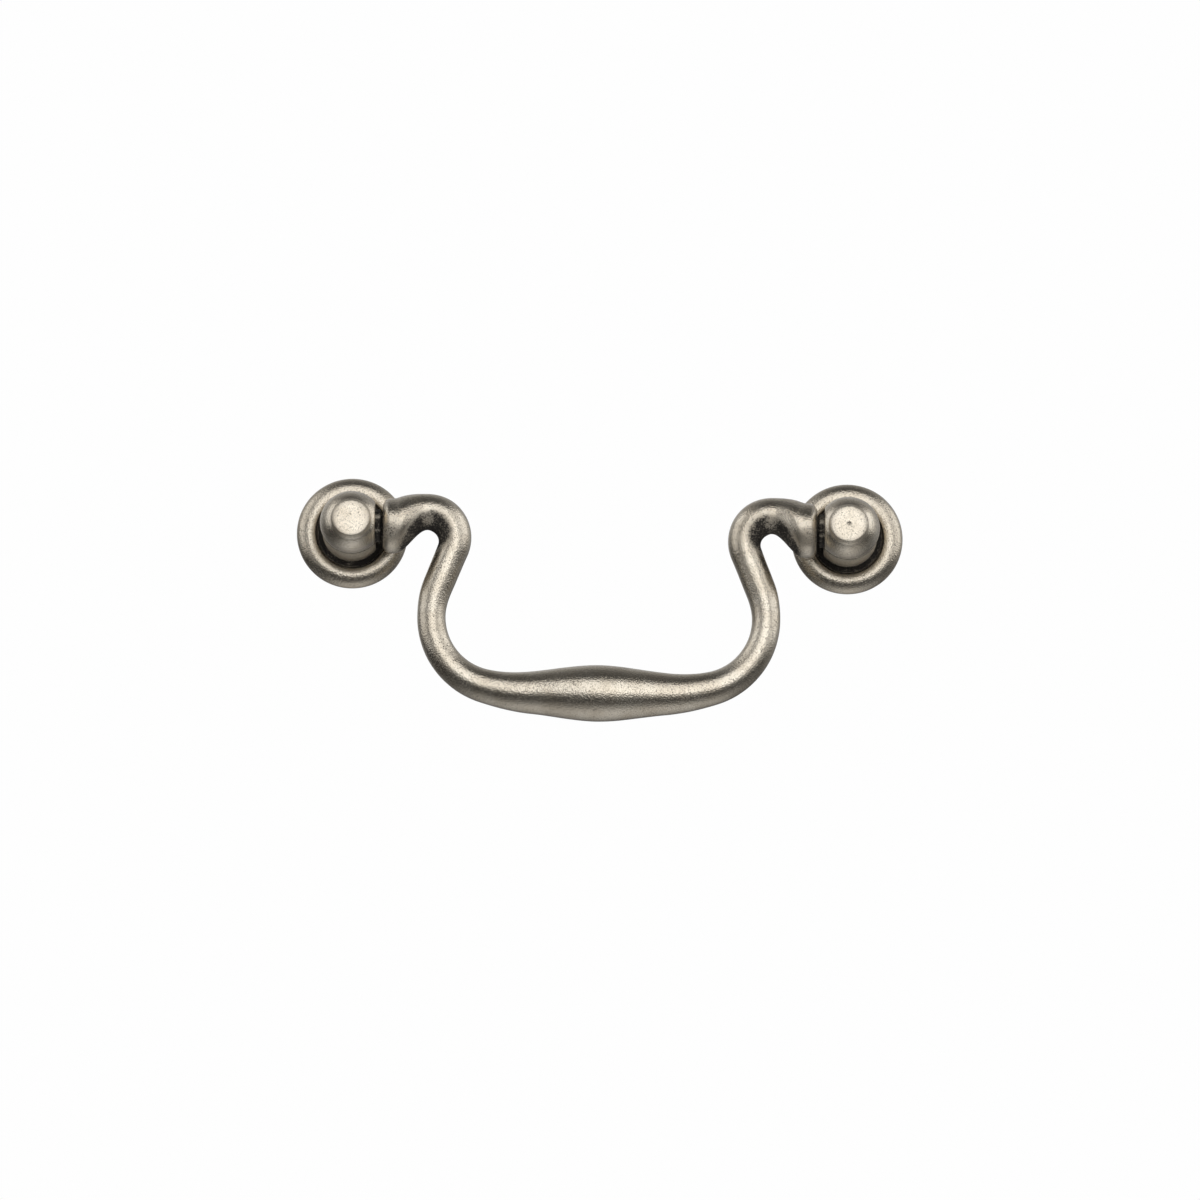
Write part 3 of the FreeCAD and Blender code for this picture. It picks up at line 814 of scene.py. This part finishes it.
@dataclass
class Post:
    """A standing post with its button face, flat, pad and socket. Sizes in millimetres."""

    side: Side
    axis_x: float
    pivot_height: float
    height: float
    spigot_radius: float = 4.0
    seat_height: float = 1.2
    radius: float = 5.36
    rim_step: float = 0.29
    rim_band: float = 0.3
    rim_undercut: float = 0.2
    dome_rise: float = 4.0
    dome_turn: float = 47.0
    cove_width: float = 0.5
    cove_rise: float = 0.75
    cove_turn: float = 60.0
    button_radius: float = 3.4
    button_wall: float = 0.45
    button_round: float = 0.32
    button_drop: float = 0.7
    button_turn: float = 65.0
    mark_radius: float = 0.4
    mark_depth: float = 0.0
    flat_depth: float = 1.1
    pad_radius: float = 2.95
    pad_height: float = 0.95
    socket_radius: float = 1.95
    socket_depth: float = 3.2
    hole_radius: float = 1.65
    hole_depth: float = 6.5
    hole_mouth: float = 0.4
    thread_play: float = 0.05
    thread_end: float = 0.2
    pad_root: float = 1.5
    bore_reach: float = 1.0
    around: int = 192
    spacing: float = 0.13
    softening: int = 2
    pivot_around: int = 96
    pivot_spacing: float = 0.08
    pad_softening: int = 3
    waver: float = 0.03
    wear_and_painted_light: PostWearAndPaintedLight = PostWearAndPaintedLight()

    @property
    def flat(self) -> float:
        """From the post's axis to its flat."""
        return self.radius - self.flat_depth

    @property
    def face(self) -> float:
        """From the post's axis to the face of its pad."""
        return self.flat + self.pad_height

    @property
    def shoulder(self) -> float:
        """The height where the shoulder meets the cove."""
        return self.height - self.button_wall - self.cove_rise

    @property
    def rim_foot(self) -> float:
        """The height where the rim starts."""
        return self.shoulder - self.dome_rise - self.rim_band

    def outline(self) -> list[Corner]:
        """Half of the post's section, from the bottom of its tapped hole to the button face."""
        rim = self.radius + self.rim_step
        return [
            (0.0, self.hole_depth, 0.0),
            (self.hole_radius, self.hole_depth, 0.0),
            (self.hole_radius, self.hole_mouth, 0.0),
            (self.hole_radius + self.hole_mouth, 0.0, 0.0),
            (self.spigot_radius, 0.0, 0.0),
            (self.spigot_radius, self.seat_height, 0.0),
            (self.radius, self.seat_height, 0.0),
            (self.radius, self.rim_foot - self.rim_undercut, 0.0),
            (rim, self.rim_foot, 0.0),
            (rim, self.rim_foot + self.rim_band, self.dome_turn),
            (self.button_radius + self.cove_width, self.shoulder, -self.cove_turn),
            (self.button_radius, self.height - self.button_wall, 0.0),
            (self.button_radius, self.height - self.button_round * self.button_drop, self.button_turn),
            (self.button_radius - self.button_round, self.height, 0.0),
            (self.mark_radius, self.height, 0.0),
            (0.0, self.height - self.mark_depth, 0.0),
        ]

    def turned_on_pivot(self, turning: FormTree, radius: float, start: float, end: float,
                        softening: int, metal: bpy.types.Material) -> bpy.types.Mesh:
        """A round form on the pivot axis.

        Args:
            turning: the tree that turns an outline.
            radius: the form's radius.
            start: where it starts, from the post's axis towards the bail.
            end: where it ends.
            softening: how far its edges are softened.
            metal: its material.

        Returns:
            The form in its place.
        """
        corners = [(0.0, start, 0.0), (radius, start, 0.0), (radius, end, 0.0), (0.0, end, 0.0)]
        line = line_mesh(outline_points(corners))
        mesh = turning.make(
            line, around=self.pivot_around, spacing=self.pivot_spacing * MM, softening=softening,
            metal=metal,
        )
        along = Matrix.Rotation(QUARTER, 4, "Y")
        place = Matrix.Translation((0.0, 0.0, self.pivot_height * MM))
        mesh.transform(out_of_drawer(self.side, self.axis_x) @ place @ along)
        return mesh

    def patina_and_shade(self, places: np.ndarray) -> np.ndarray:
        """How dark each point is: patina, painted shade and painted glints.

        Args:
            places: the points in millimetres.

        Returns:
            The patina at each point, from 0 to 1.
        """
        inwards = -self.side.value * (places[:, 0] - self.axis_x)
        height = -places[:, 1]
        radius = np.hypot(inwards, places[:, 2])
        from_pivot = np.hypot(height - self.pivot_height, places[:, 2])
        wear_and_painted_light = self.wear_and_painted_light
        # Dark at the foot of the post: patina, and painted contact shadow where the post stands in the
        # rose's recess
        foot = 1.0 - wear_and_painted_light.foot_rubbed * fade(self.seat_height, wear_and_painted_light.foot_span, height)
        foot *= 1.0 - fade(self.rim_foot, wear_and_painted_light.rim_span, height)
        foot *= wear_and_painted_light.back + (1.0 - wear_and_painted_light.back) * fade(0.0, wear_and_painted_light.back_span, height)
        # A thin dark line just above the rim's foot: painted shadow of the rim's overhang, with some
        # patina
        line = bump_at(self.rim_foot + wear_and_painted_light.rim_shade_line_rise, wear_and_painted_light.rim_shade_line_width, height)
        cove = wear_and_painted_light.cove * bump_at(self.button_radius + wear_and_painted_light.cove_out, wear_and_painted_light.cove_width, radius)
        cove *= fade(self.shoulder, wear_and_painted_light.shoulder_span, height)
        cove *= 1.0 - fade(self.height, wear_and_painted_light.wall_span, height)
        # Darker towards the button's edge and down its wall
        button_edge_dark = wear_and_painted_light.button * fade(self.button_radius, wear_and_painted_light.button_span, radius)
        button_edge_dark *= fade(self.shoulder, (0.0, self.cove_rise), height)
        # The pad goes dark: patina on its unpolished side, and painted shade in the narrow slit before
        # the boss
        pad = wear_and_painted_light.pad * fade(self.flat, wear_and_painted_light.flat_span, inwards)
        # Painted glints: the dark on the pad is cleared at two heights about the pivot, so bare metal
        # shows a glint there
        up, down = wear_and_painted_light.glint_height, -wear_and_painted_light.glint_height
        pad *= 1.0 - wear_and_painted_light.upper_glint * bump_at(up, wear_and_painted_light.upper_width, places[:, 2])
        pad *= 1.0 - wear_and_painted_light.lower_glint * bump_at(down, wear_and_painted_light.lower_width, places[:, 2])
        pad *= 1.0 - fade(self.pad_radius, wear_and_painted_light.pad_span, from_pivot)
        socket = (from_pivot < self.socket_radius + wear_and_painted_light.socket_edge) & (radius < self.flat)
        return np.maximum.reduce([foot, line, cove, button_edge_dark, pad, socket.astype(float)])

    def build(self, turning: FormTree, finish: Pewter, metal: bpy.types.Material) -> bpy.types.Object:
        """Builds the post.

        Args:
            turning: the tree that turns an outline.
            finish: the finish; not used.
            metal: its material.

        Returns:
            The finished post.
        """
        line = line_mesh(outline_points(self.outline()))
        mesh = turning.make(
            line, around=self.around, spacing=self.spacing * MM, softening=self.softening,
            flat_offset=self.flat * MM, thread_radius=(self.hole_radius + self.thread_play) * MM,
            thread_reach=(self.hole_depth - self.thread_end) * MM, waver=self.waver * MM, metal=metal,
        )
        mesh.transform(out_of_drawer(self.side, self.axis_x))
        root, start = self.flat - self.pad_root, self.face - self.socket_depth
        end = self.face + self.bore_reach
        pad = self.turned_on_pivot(
            turning, self.pad_radius, root, self.face, self.pad_softening, metal
        )
        mesh = cut_or_join(mesh, pad, "UNION")
        bore = self.turned_on_pivot(turning, self.socket_radius, start, end, 0, metal)
        mesh = cut_or_join(mesh, bore, "DIFFERENCE")
        mark_sharp_edges(mesh, SHARP_TURN)
        keep_values(mesh, "patina_and_shade", self.patina_and_shade(points_of(mesh)))
        name = f"post_{self.side.word}"
        return add_piece(mesh, f"{name}_turned", Body.FIXED, name)


@dataclass
class Station:
    """One section of the bail, in millimetres from the middle of the pivot axis."""

    x: float
    z: float
    thickness: float
    across: tuple[float, float] = (0.0, 1.0)
    bend: tuple[float, float] = (0.0, 0.0)
    cast: float = 1.0

    def mirrored(self) -> "Station":
        """The same section on the other half of the bail."""
        across = (-self.across[0], self.across[1])
        bend = (-self.bend[0], self.bend[1])
        return Station(-self.x, self.z, self.thickness, across, bend, self.cast)


@dataclass(frozen=True)
class BailWearAndPaintedLight:
    """Where patina stays on the bail, and where shade and a sheen are painted: shares from 0 to 1, and
    sizes in millimetres.

    Each span starts and ends a fade. Those of the neck, the face and the boss are measured from them.
    """

    inside: float = 0.92
    inside_span: Span = (-0.26, 0.36)
    tight_bend: float = 0.56
    tight_gain: float = 1.8
    tight_span: Span = (0.02, 0.27)
    neck_span: Span = (-18.0, -10.0)
    painted_sheen: float = 0.42
    painted_sheen_out: float = 30.7
    painted_sheen_rise: float = 1.0
    painted_sheen_span: Span = (1.7, 0.3)
    face: float = 0.9
    face_span: Span = (-0.25, -0.02)
    boss: float = 0.52
    boss_span: Span = (-4.5, -1.5)
    low_span: Span = (-1.6, 1.0)
    lip: float = 0.8
    lip_span: Span = (2.6, 3.6)


@dataclass
class Bail:
    """The swinging handle, one casting from pin to pin. Sizes in millimetres, turns in degrees."""

    boss_face: float
    pivot_height: float
    leg_inset: float = 8.92
    ease_curve: float = 33.1
    ease_turn: float = 15.0
    corner_curve: float = 12.9
    lean_curve: float = 14.9
    lean_turn: float = 21.8
    slope_length: float = 7.0
    neck_curve: float = 5.07
    neck_turn: float = 73.2
    crown_curve: float = 4.86
    neck_rise: float = 2.62
    boss_length: float = 2.85
    boss_level: float = 1.65
    boss_round: float = 1.4
    boss_radius: float = 4.92
    rim_steps: int = 12
    pin_radius: float = 1.9
    pin_length: float = 3.25
    pin_chamfer: float = 0.3
    root_step: float = 0.002
    radii: tuple[float, ...] = (5.06, 3.82, 3.04, 2.54, 2.75, 2.83, 3.24, 3.24)
    level: tuple[int, ...] = (0, 3, 7)
    spacing: float = 0.25
    around: int = 88
    waver: float = 0.05
    fade_steps: int = 190
    wear_and_painted_light: BailWearAndPaintedLight = BailWearAndPaintedLight()
    stations: list[Station] = field(default_factory=list)

    def moves(self) -> list[tuple[float, float]]:
        """The stretches of the middle line from the grip to the top of the neck.

        Returns:
            Each stretch's radius and turn, or its length and a turn of 0.
        """
        ease = math.radians(self.ease_turn)
        lean = math.radians(self.lean_turn)
        neck = math.radians(self.neck_turn)
        leg = self.boss_face - self.leg_inset
        straight = leg - self.ease_curve * math.sin(ease) - self.corner_curve * (1 - math.sin(ease))
        return [
            (straight, 0.0),
            (self.ease_curve, ease),
            (self.corner_curve, QUARTER - ease),
            (self.lean_curve, lean),
            (self.slope_length, 0.0),
            (self.neck_curve, -neck),
            (self.crown_curve, neck - QUARTER - lean),
        ]

    def thickness_at(self, lengths: list[float], index: int, part: float) -> float:
        """The bail's radius at a part of one stretch.

        Args:
            lengths: the length of each stretch.
            index: the stretch.
            part: the part of its length, from 0 to 1.

        Returns:
            The radius, on a cubic between the radii set where stretches meet.
        """
        square, cube = part * part, part * part * part
        radius = self.radii[index] * (1 - 3 * square + 2 * cube)
        radius += self.radii[index + 1] * (3 * square - 2 * cube)
        for place, weight in ((index, cube - 2 * square + part), (index + 1, cube - square)):
            if place not in self.level:
                rise = self.radii[place + 1] - self.radii[place - 1]
                radius += weight * lengths[index] * rise / (lengths[place - 1] + lengths[place])
        return radius

    def follow_line(self) -> list[Station]:
        """Walks the middle line from the grip to the top of the neck.

        Returns:
            The stations on the right half.
        """
        moves = self.moves()
        lengths = [size * abs(turn) if turn else size for size, turn in moves]
        x, z, heading = 0.0, 0.0, 0.0
        stations = []
        for index, (size, turn) in enumerate(moves):
            count = max(2, round(lengths[index] / self.spacing))
            hand = math.copysign(1.0, turn) if turn else 0.0
            for step in range(count):
                part = step / count
                here = heading + turn * part
                reach = 2 * size * math.sin(abs(turn) * part / 2) if turn else size * part
                way = heading + turn * part / 2
                across = (-math.sin(here), math.cos(here))
                stations.append(Station(
                    x + reach * math.cos(way), z + reach * math.sin(way),
                    self.thickness_at(lengths, index, part), across,
                    (across[0] * hand / size, across[1] * hand / size),
                ))
            reach = 2 * size * math.sin(abs(turn) / 2) if turn else size
            x += reach * math.cos(heading + turn / 2)
            z += reach * math.sin(heading + turn / 2)
            heading += turn
        drop = self.neck_rise - z
        for station in stations:
            station.z += drop
        bend = (0.0, -1.0 / self.crown_curve)
        stations.append(Station(x, self.neck_rise, self.radii[-1], bend=bend))
        return stations

    def swell(self, top: Station) -> list[Station]:
        """The neck's fall to the pivot axis while it swells to the boss, then the boss and its pin.

        Args:
            top: the station on top of the neck.

        Returns:
            The stations from there to the pin's tip.
        """
        level = self.boss_face - self.boss_level
        full = self.boss_face - self.boss_length
        count = round((level - top.x) / self.spacing)
        places = np.linspace(top.x, level, count + 1)[1:]
        falls = smooth_step(top.x, level, places)
        growths = smooth_step(top.x, full, places)
        stations = [
            Station(
                x, top.z * (1 - fall), top.thickness + (self.boss_radius - top.thickness) * growth,
                bend=(0.0, top.bend[1] * (1 - growth)),
            )
            for x, fall, growth in zip(places.tolist(), falls.tolist(), growths.tolist())
        ]
        rim = self.boss_face - self.boss_round
        for step in range(self.rim_steps + 1):
            turn = QUARTER * step / self.rim_steps
            stations.append(Station(
                rim + self.boss_round * math.sin(turn), 0.0,
                self.boss_radius - self.boss_round * (1 - math.cos(turn)),
            ))
        root = self.boss_face + self.root_step
        tip = self.boss_face + self.pin_length
        shank = tip - self.pin_chamfer
        blunt = self.pin_radius - self.pin_chamfer
        for place, radius in ((root, self.pin_radius), (shank, self.pin_radius), (tip, blunt)):
            stations.append(Station(place, 0.0, radius, cast=0.0))
        return stations

    def lay_out(self) -> None:
        """Sets the stations of the whole bail, from the left pin to the right one."""
        half = self.follow_line()
        half += self.swell(half[-1])
        self.ease_bends(half)
        self.stations = [station.mirrored() for station in reversed(half[1:])] + half

    def ease_bends(self, half: list[Station]) -> None:
        """Lets each bend fade into the stretches beside it, as the patina and painted shade in it do.
        """
        bends = np.array([station.bend for station in half])
        for _ in range(self.fade_steps):
            padded = np.pad(bends, ((1, 1), (0, 0)), mode="edge")
            bends = (padded[:-2] + padded[1:-1] * 2 + padded[2:]) / 4
        for station, bend in zip(half, bends.tolist()):
            station.bend = tuple(bend)

    def line(self) -> bpy.types.Mesh:
        """The middle line as a mesh that carries each station's thickness, bend and finish."""
        mesh = line_mesh([Vector((s.x, -self.pivot_height, s.z)) * MM for s in self.stations])
        thickness = mesh.attributes.new("thickness", "FLOAT", "POINT")
        thickness.data.foreach_set("value", [s.thickness * MM for s in self.stations])
        cast = mesh.attributes.new("cast", "FLOAT", "POINT")
        cast.data.foreach_set("value", [s.cast for s in self.stations])
        across = mesh.attributes.new("across", "FLOAT_VECTOR", "POINT")
        ways = [value for s in self.stations for value in (s.across[0], 0.0, s.across[1])]
        across.data.foreach_set("vector", ways)
        bend = mesh.attributes.new("bend", "FLOAT_VECTOR", "POINT")
        bends = [value / MM for s in self.stations for value in (s.bend[0], 0.0, s.bend[1])]
        bend.data.foreach_set("vector", bends)
        return mesh

    def patina_and_shade(self, places: np.ndarray, hollow: np.ndarray, tight: np.ndarray) -> np.ndarray:
        """How dark each point is: patina, painted shade and a painted sheen.

        Args:
            places: the points in millimetres.
            hollow: how far each point faces the inside of its bend, from -1 to 1.
            tight: how tight that bend is, as the bail's thickness over the bend's radius.

        Returns:
            The patina at each point, from 0 to 1.
        """
        out, rise, wear_and_painted_light = np.abs(places[:, 0]), places[:, 2], self.wear_and_painted_light
        # Dark on the inside of the tight bends: patina in the hollows, and painted shade where the bend
        # shades and darkly reflects itself
        reach = hollow + wear_and_painted_light.tight_gain * (tight - wear_and_painted_light.tight_bend)
        inside = wear_and_painted_light.inside * fade(0.0, wear_and_painted_light.inside_span, reach) * fade(0.0, wear_and_painted_light.tight_span, tight)
        inside *= fade(self.neck_rise, wear_and_painted_light.neck_span, rise)
        # Painted sheen: the dark is cleared round one spot inside the neck's bend, where light reflects
        painted_sheen = np.hypot(out - wear_and_painted_light.painted_sheen_out, rise - wear_and_painted_light.painted_sheen_rise)
        inside *= 1.0 - wear_and_painted_light.painted_sheen * fade(0.0, wear_and_painted_light.painted_sheen_span, painted_sheen)
        # The boss's end face and the pins go dark: patina, and painted shade in the narrow slit against
        # the post
        face = wear_and_painted_light.face * fade(self.boss_face, wear_and_painted_light.face_span, out)
        # Painted shade on the lower half of the boss near its face, and a painted reflection that
        # leaves its bottom lip lighter
        boss = wear_and_painted_light.boss * fade(self.boss_face, wear_and_painted_light.boss_span, out)
        boss *= fade(0.0, wear_and_painted_light.low_span, -rise) * (1.0 - wear_and_painted_light.lip * fade(0.0, wear_and_painted_light.lip_span, -rise))
        return np.maximum.reduce([inside, face, boss])

    def build(self, casting: FormTree, finish: Pewter, metal: bpy.types.Material) -> bpy.types.Object:
        """Builds the bail.

        Args:
            casting: the tree that skins sections along a middle line.
            finish: the finish; not used.
            metal: its material.

        Returns:
            The finished bail.
        """
        self.lay_out()
        mesh = casting.make(self.line(), around=self.around, waver=self.waver * MM, metal=metal)
        mark_sharp_edges(mesh, SHARP_TURN)
        hollow, tight = read_values(mesh, "hollow"), read_values(mesh, "tight")
        keep_values(mesh, "patina_and_shade", self.patina_and_shade(points_of(mesh), hollow, tight))
        return add_piece(mesh, "bail_cast", Body.SWINGING, "bail")


# The studio round the pull
@dataclass(frozen=True)
class Place:
    """A direction from the pull, by its angles right of and above the camera, in degrees."""

    right: float
    above: float

    def direction(self, look_up: float) -> Vector:
        """The direction as a vector.

        Args:
            look_up: how far the camera looks up, in degrees.

        Returns:
            The direction from the pull, of length 1.
        """
        turn, rise, tilt = (math.radians(angle) for angle in (self.right, self.above, look_up))
        beside = math.sin(turn) * math.cos(rise)
        nearer = math.cos(turn) * math.cos(rise)
        higher = math.sin(rise)
        back = Vector((0.0, -math.cos(tilt), -math.sin(tilt)))
        up = Vector((0.0, -math.sin(tilt), math.cos(tilt)))
        return Vector((beside, 0.0, 0.0)) + back * nearer + up * higher


@dataclass(frozen=True)
class Softbox:
    """A large soft light. Its sizes are angles as seen from the pull, in degrees."""

    name: str
    place: Place
    width: float
    height: float
    radiance: float
    distance: float = 1.2

    def put_up(self, look_up: float) -> None:
        """Adds the light, facing the pull and unseen by the camera.

        Args:
            look_up: how far the camera looks up, in degrees.
        """
        light = bpy.data.lights.new(self.name, "AREA")
        light.shape = "RECTANGLE"
        light.size = 2 * self.distance * math.tan(math.radians(self.width / 2))
        light.size_y = 2 * self.distance * math.tan(math.radians(self.height / 2))
        light.energy = self.radiance * math.pi * light.size * light.size_y
        lamp = bpy.data.objects.new(self.name, light)
        bpy.context.scene.collection.objects.link(lamp)
        away = self.place.direction(look_up)
        lamp.location = away * self.distance
        lamp.rotation_euler = away.to_track_quat("Z", "Y").to_euler()
        lamp.visible_camera = False


@dataclass(frozen=True)
class Glow:
    """A pale card or wall that the metal reflects, soft at its edges."""

    place: Place
    spread: float
    level: float


@dataclass
class Studio:
    """The camera, the lights, the pale surroundings and the floor."""

    look_up: float = 9.0
    roll: float = 0.68
    distance: float = 2.5
    frame_width: float = 0.2159
    sensor: float = 36.0
    aim_right: float = 0.000185
    aim_down: float = 0.01135
    near_clip: float = 0.1
    far_clip: float = 50.0
    floor_depth: float = 0.45
    floor_half: float = 3.0
    floor_colour: tuple[float, ...] = (0.86, 0.85, 0.83, 1.0)
    floor_roughness: float = 0.8
    floor_glow: float = 0.42
    boxes: tuple[Softbox, ...] = (
        Softbox("front_softbox", Place(3.0, 28.0), 56.0, 54.0, 1.27),
        Softbox("right_softbox", Place(78.0, 23.0), 58.0, 54.0, 0.98),
        Softbox("left_softbox", Place(-78.0, 24.0), 54.0, 62.0, 0.74),
    )
    glows: tuple[Glow, ...] = (
        Glow(Place(10.0, 4.0), 14.0, 0.76),
        Glow(Place(-38.0, 4.0), 13.0, 0.36),
        Glow(Place(36.0, 6.0), 14.0, 0.56),
        Glow(Place(-105.0, 36.0), 28.0, 0.34),
        Glow(Place(110.0, 36.0), 28.0, 0.24),
        Glow(Place(5.0, -82.0), 27.0, 0.46),
        Glow(Place(180.0, -62.0), 28.0, 0.34),
        Glow(Place(75.0, -60.0), 26.0, 0.12),
        Glow(Place(125.0, 8.0), 28.0, 0.36),
        Glow(Place(-155.0, 8.0), 25.0, 0.40),
        Glow(Place(180.0, 32.0), 30.0, 0.36),
    )
    gloom: float = 0.04
    white: tuple[float, ...] = (0.991, 0.991, 0.991, 1.0)

    def set_up(self) -> None:
        """Sets up the whole studio."""
        for box in self.boxes:
            box.put_up(self.look_up)
        self.set_world()
        self.lay_floor()
        self.set_camera()
        bpy.context.scene.view_settings.view_transform = "Standard"

    def set_world(self) -> None:
        """Pale surroundings: plain white to the camera, and soft glows in reflections."""
        world = bpy.data.worlds.new("studio")
        world.use_nodes = True
        bpy.context.scene.world = world
        board = Board(world.node_tree)
        background = world.node_tree.nodes["Background"]
        way = board.add("ShaderNodeTexCoord").outputs["Generated"]
        light = self.gloom
        for glow in self.glows:
            middle = glow.place.direction(self.look_up)
            nearness = board.vector("DOT_PRODUCT", way, middle)
            sharpness = 2.0 / math.radians(glow.spread) ** 2
            power = board.math("MULTIPLY_ADD", nearness, sharpness, -sharpness)
            light = board.math("MULTIPLY_ADD", board.math("EXPONENT", power), glow.level, light)
        seen = board.add("ShaderNodeLightPath").outputs["Is Camera Ray"]
        board.feed(background.inputs["Color"], board.mix(seen, light, self.white))

    def lay_floor(self) -> None:
        """A plain pale floor below the pull."""
        mesh = bpy.data.meshes.new("floor")
        half = self.floor_half
        corners = [(-half, -half), (half, -half), (half, half), (-half, half)]
        mesh.from_pydata([(x, y, -self.floor_depth) for x, y in corners], [], [(0, 1, 2, 3)])
        floor = bpy.data.objects.new("floor", mesh)
        bpy.context.scene.collection.objects.link(floor)
        pale = bpy.data.materials.new("pale_floor")
        pale.use_nodes = True
        shader = pale.node_tree.nodes["Principled BSDF"]
        for name, value in {
            "Base Color": self.floor_colour, "Roughness": self.floor_roughness,
            "Emission Color": self.floor_colour, "Emission Strength": self.floor_glow,
        }.items():
            shader.inputs[name].default_value = value
        mesh.materials.append(pale)
        floor.visible_glossy = False

    def set_camera(self) -> None:
        """A long lens a little below the pull, looking up at it."""
        tilt, roll = math.radians(self.look_up), math.radians(self.roll)
        ahead = Vector((0.0, math.cos(tilt), math.sin(tilt)))
        up = Vector((0.0, -math.sin(tilt), math.cos(tilt)))
        across = Vector((1.0, 0.0, 0.0))
        aim = across * self.aim_right - up * self.aim_down
        right_edge = across * math.cos(roll) + up * math.sin(roll)
        top_edge = up * math.cos(roll) - across * math.sin(roll)
        lens = bpy.data.cameras.new("camera")
        lens.sensor_width = self.sensor
        lens.lens = self.sensor * self.distance / self.frame_width
        lens.clip_start, lens.clip_end = self.near_clip, self.far_clip
        camera = bpy.data.objects.new("camera", lens)
        bpy.context.scene.collection.objects.link(camera)
        turn = Matrix((right_edge, top_edge, -ahead)).transposed()
        camera.matrix_world = Matrix.Translation(aim - ahead * self.distance) @ turn.to_4x4()
        bpy.context.scene.camera = camera


def centre_x(node: str) -> float:
    """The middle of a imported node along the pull, in millimetres."""
    low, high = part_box(node)
    return (low.x + high.x) / 2 / MM


def main() -> None:
    """Builds the pull and its studio."""
    logging.basicConfig(level=logging.INFO, format="%(name)s: %(message)s")
    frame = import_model()
    pivot_height = -frame["joints"][0]["pos_m"][1] / MM
    turning, casting = turning_tree(), casting_tree()
    finishes = {kind: Pewter(f"{kind}_pewter") for kind in ("post", "bail")}
    finishes["rose"] = Pewter("rose_pewter", bright=(0.64, 0.582, 0.488, 1.0), roughness=0.26)
    metals = {kind: finish.material() for kind, finish in finishes.items()}
    for side in Side:
        axis_x = centre_x(f"rose_{side.word}")
        Rose(side, axis_x).build(turning, finishes["rose"], metals["rose"])
        post = Post(side, axis_x, pivot_height, -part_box(f"post_{side.word}")[0].y / MM)
        if side is Side.RIGHT:
            post.mark_depth = CENTRE_MARK
        post.build(turning, finishes["post"], metals["post"])
    boss_face = post.axis_x - post.face - PLAY
    Bail(boss_face, pivot_height).build(casting, finishes["bail"], metals["bail"])
    Studio().set_up()


if __name__ == "__main__":
    main()
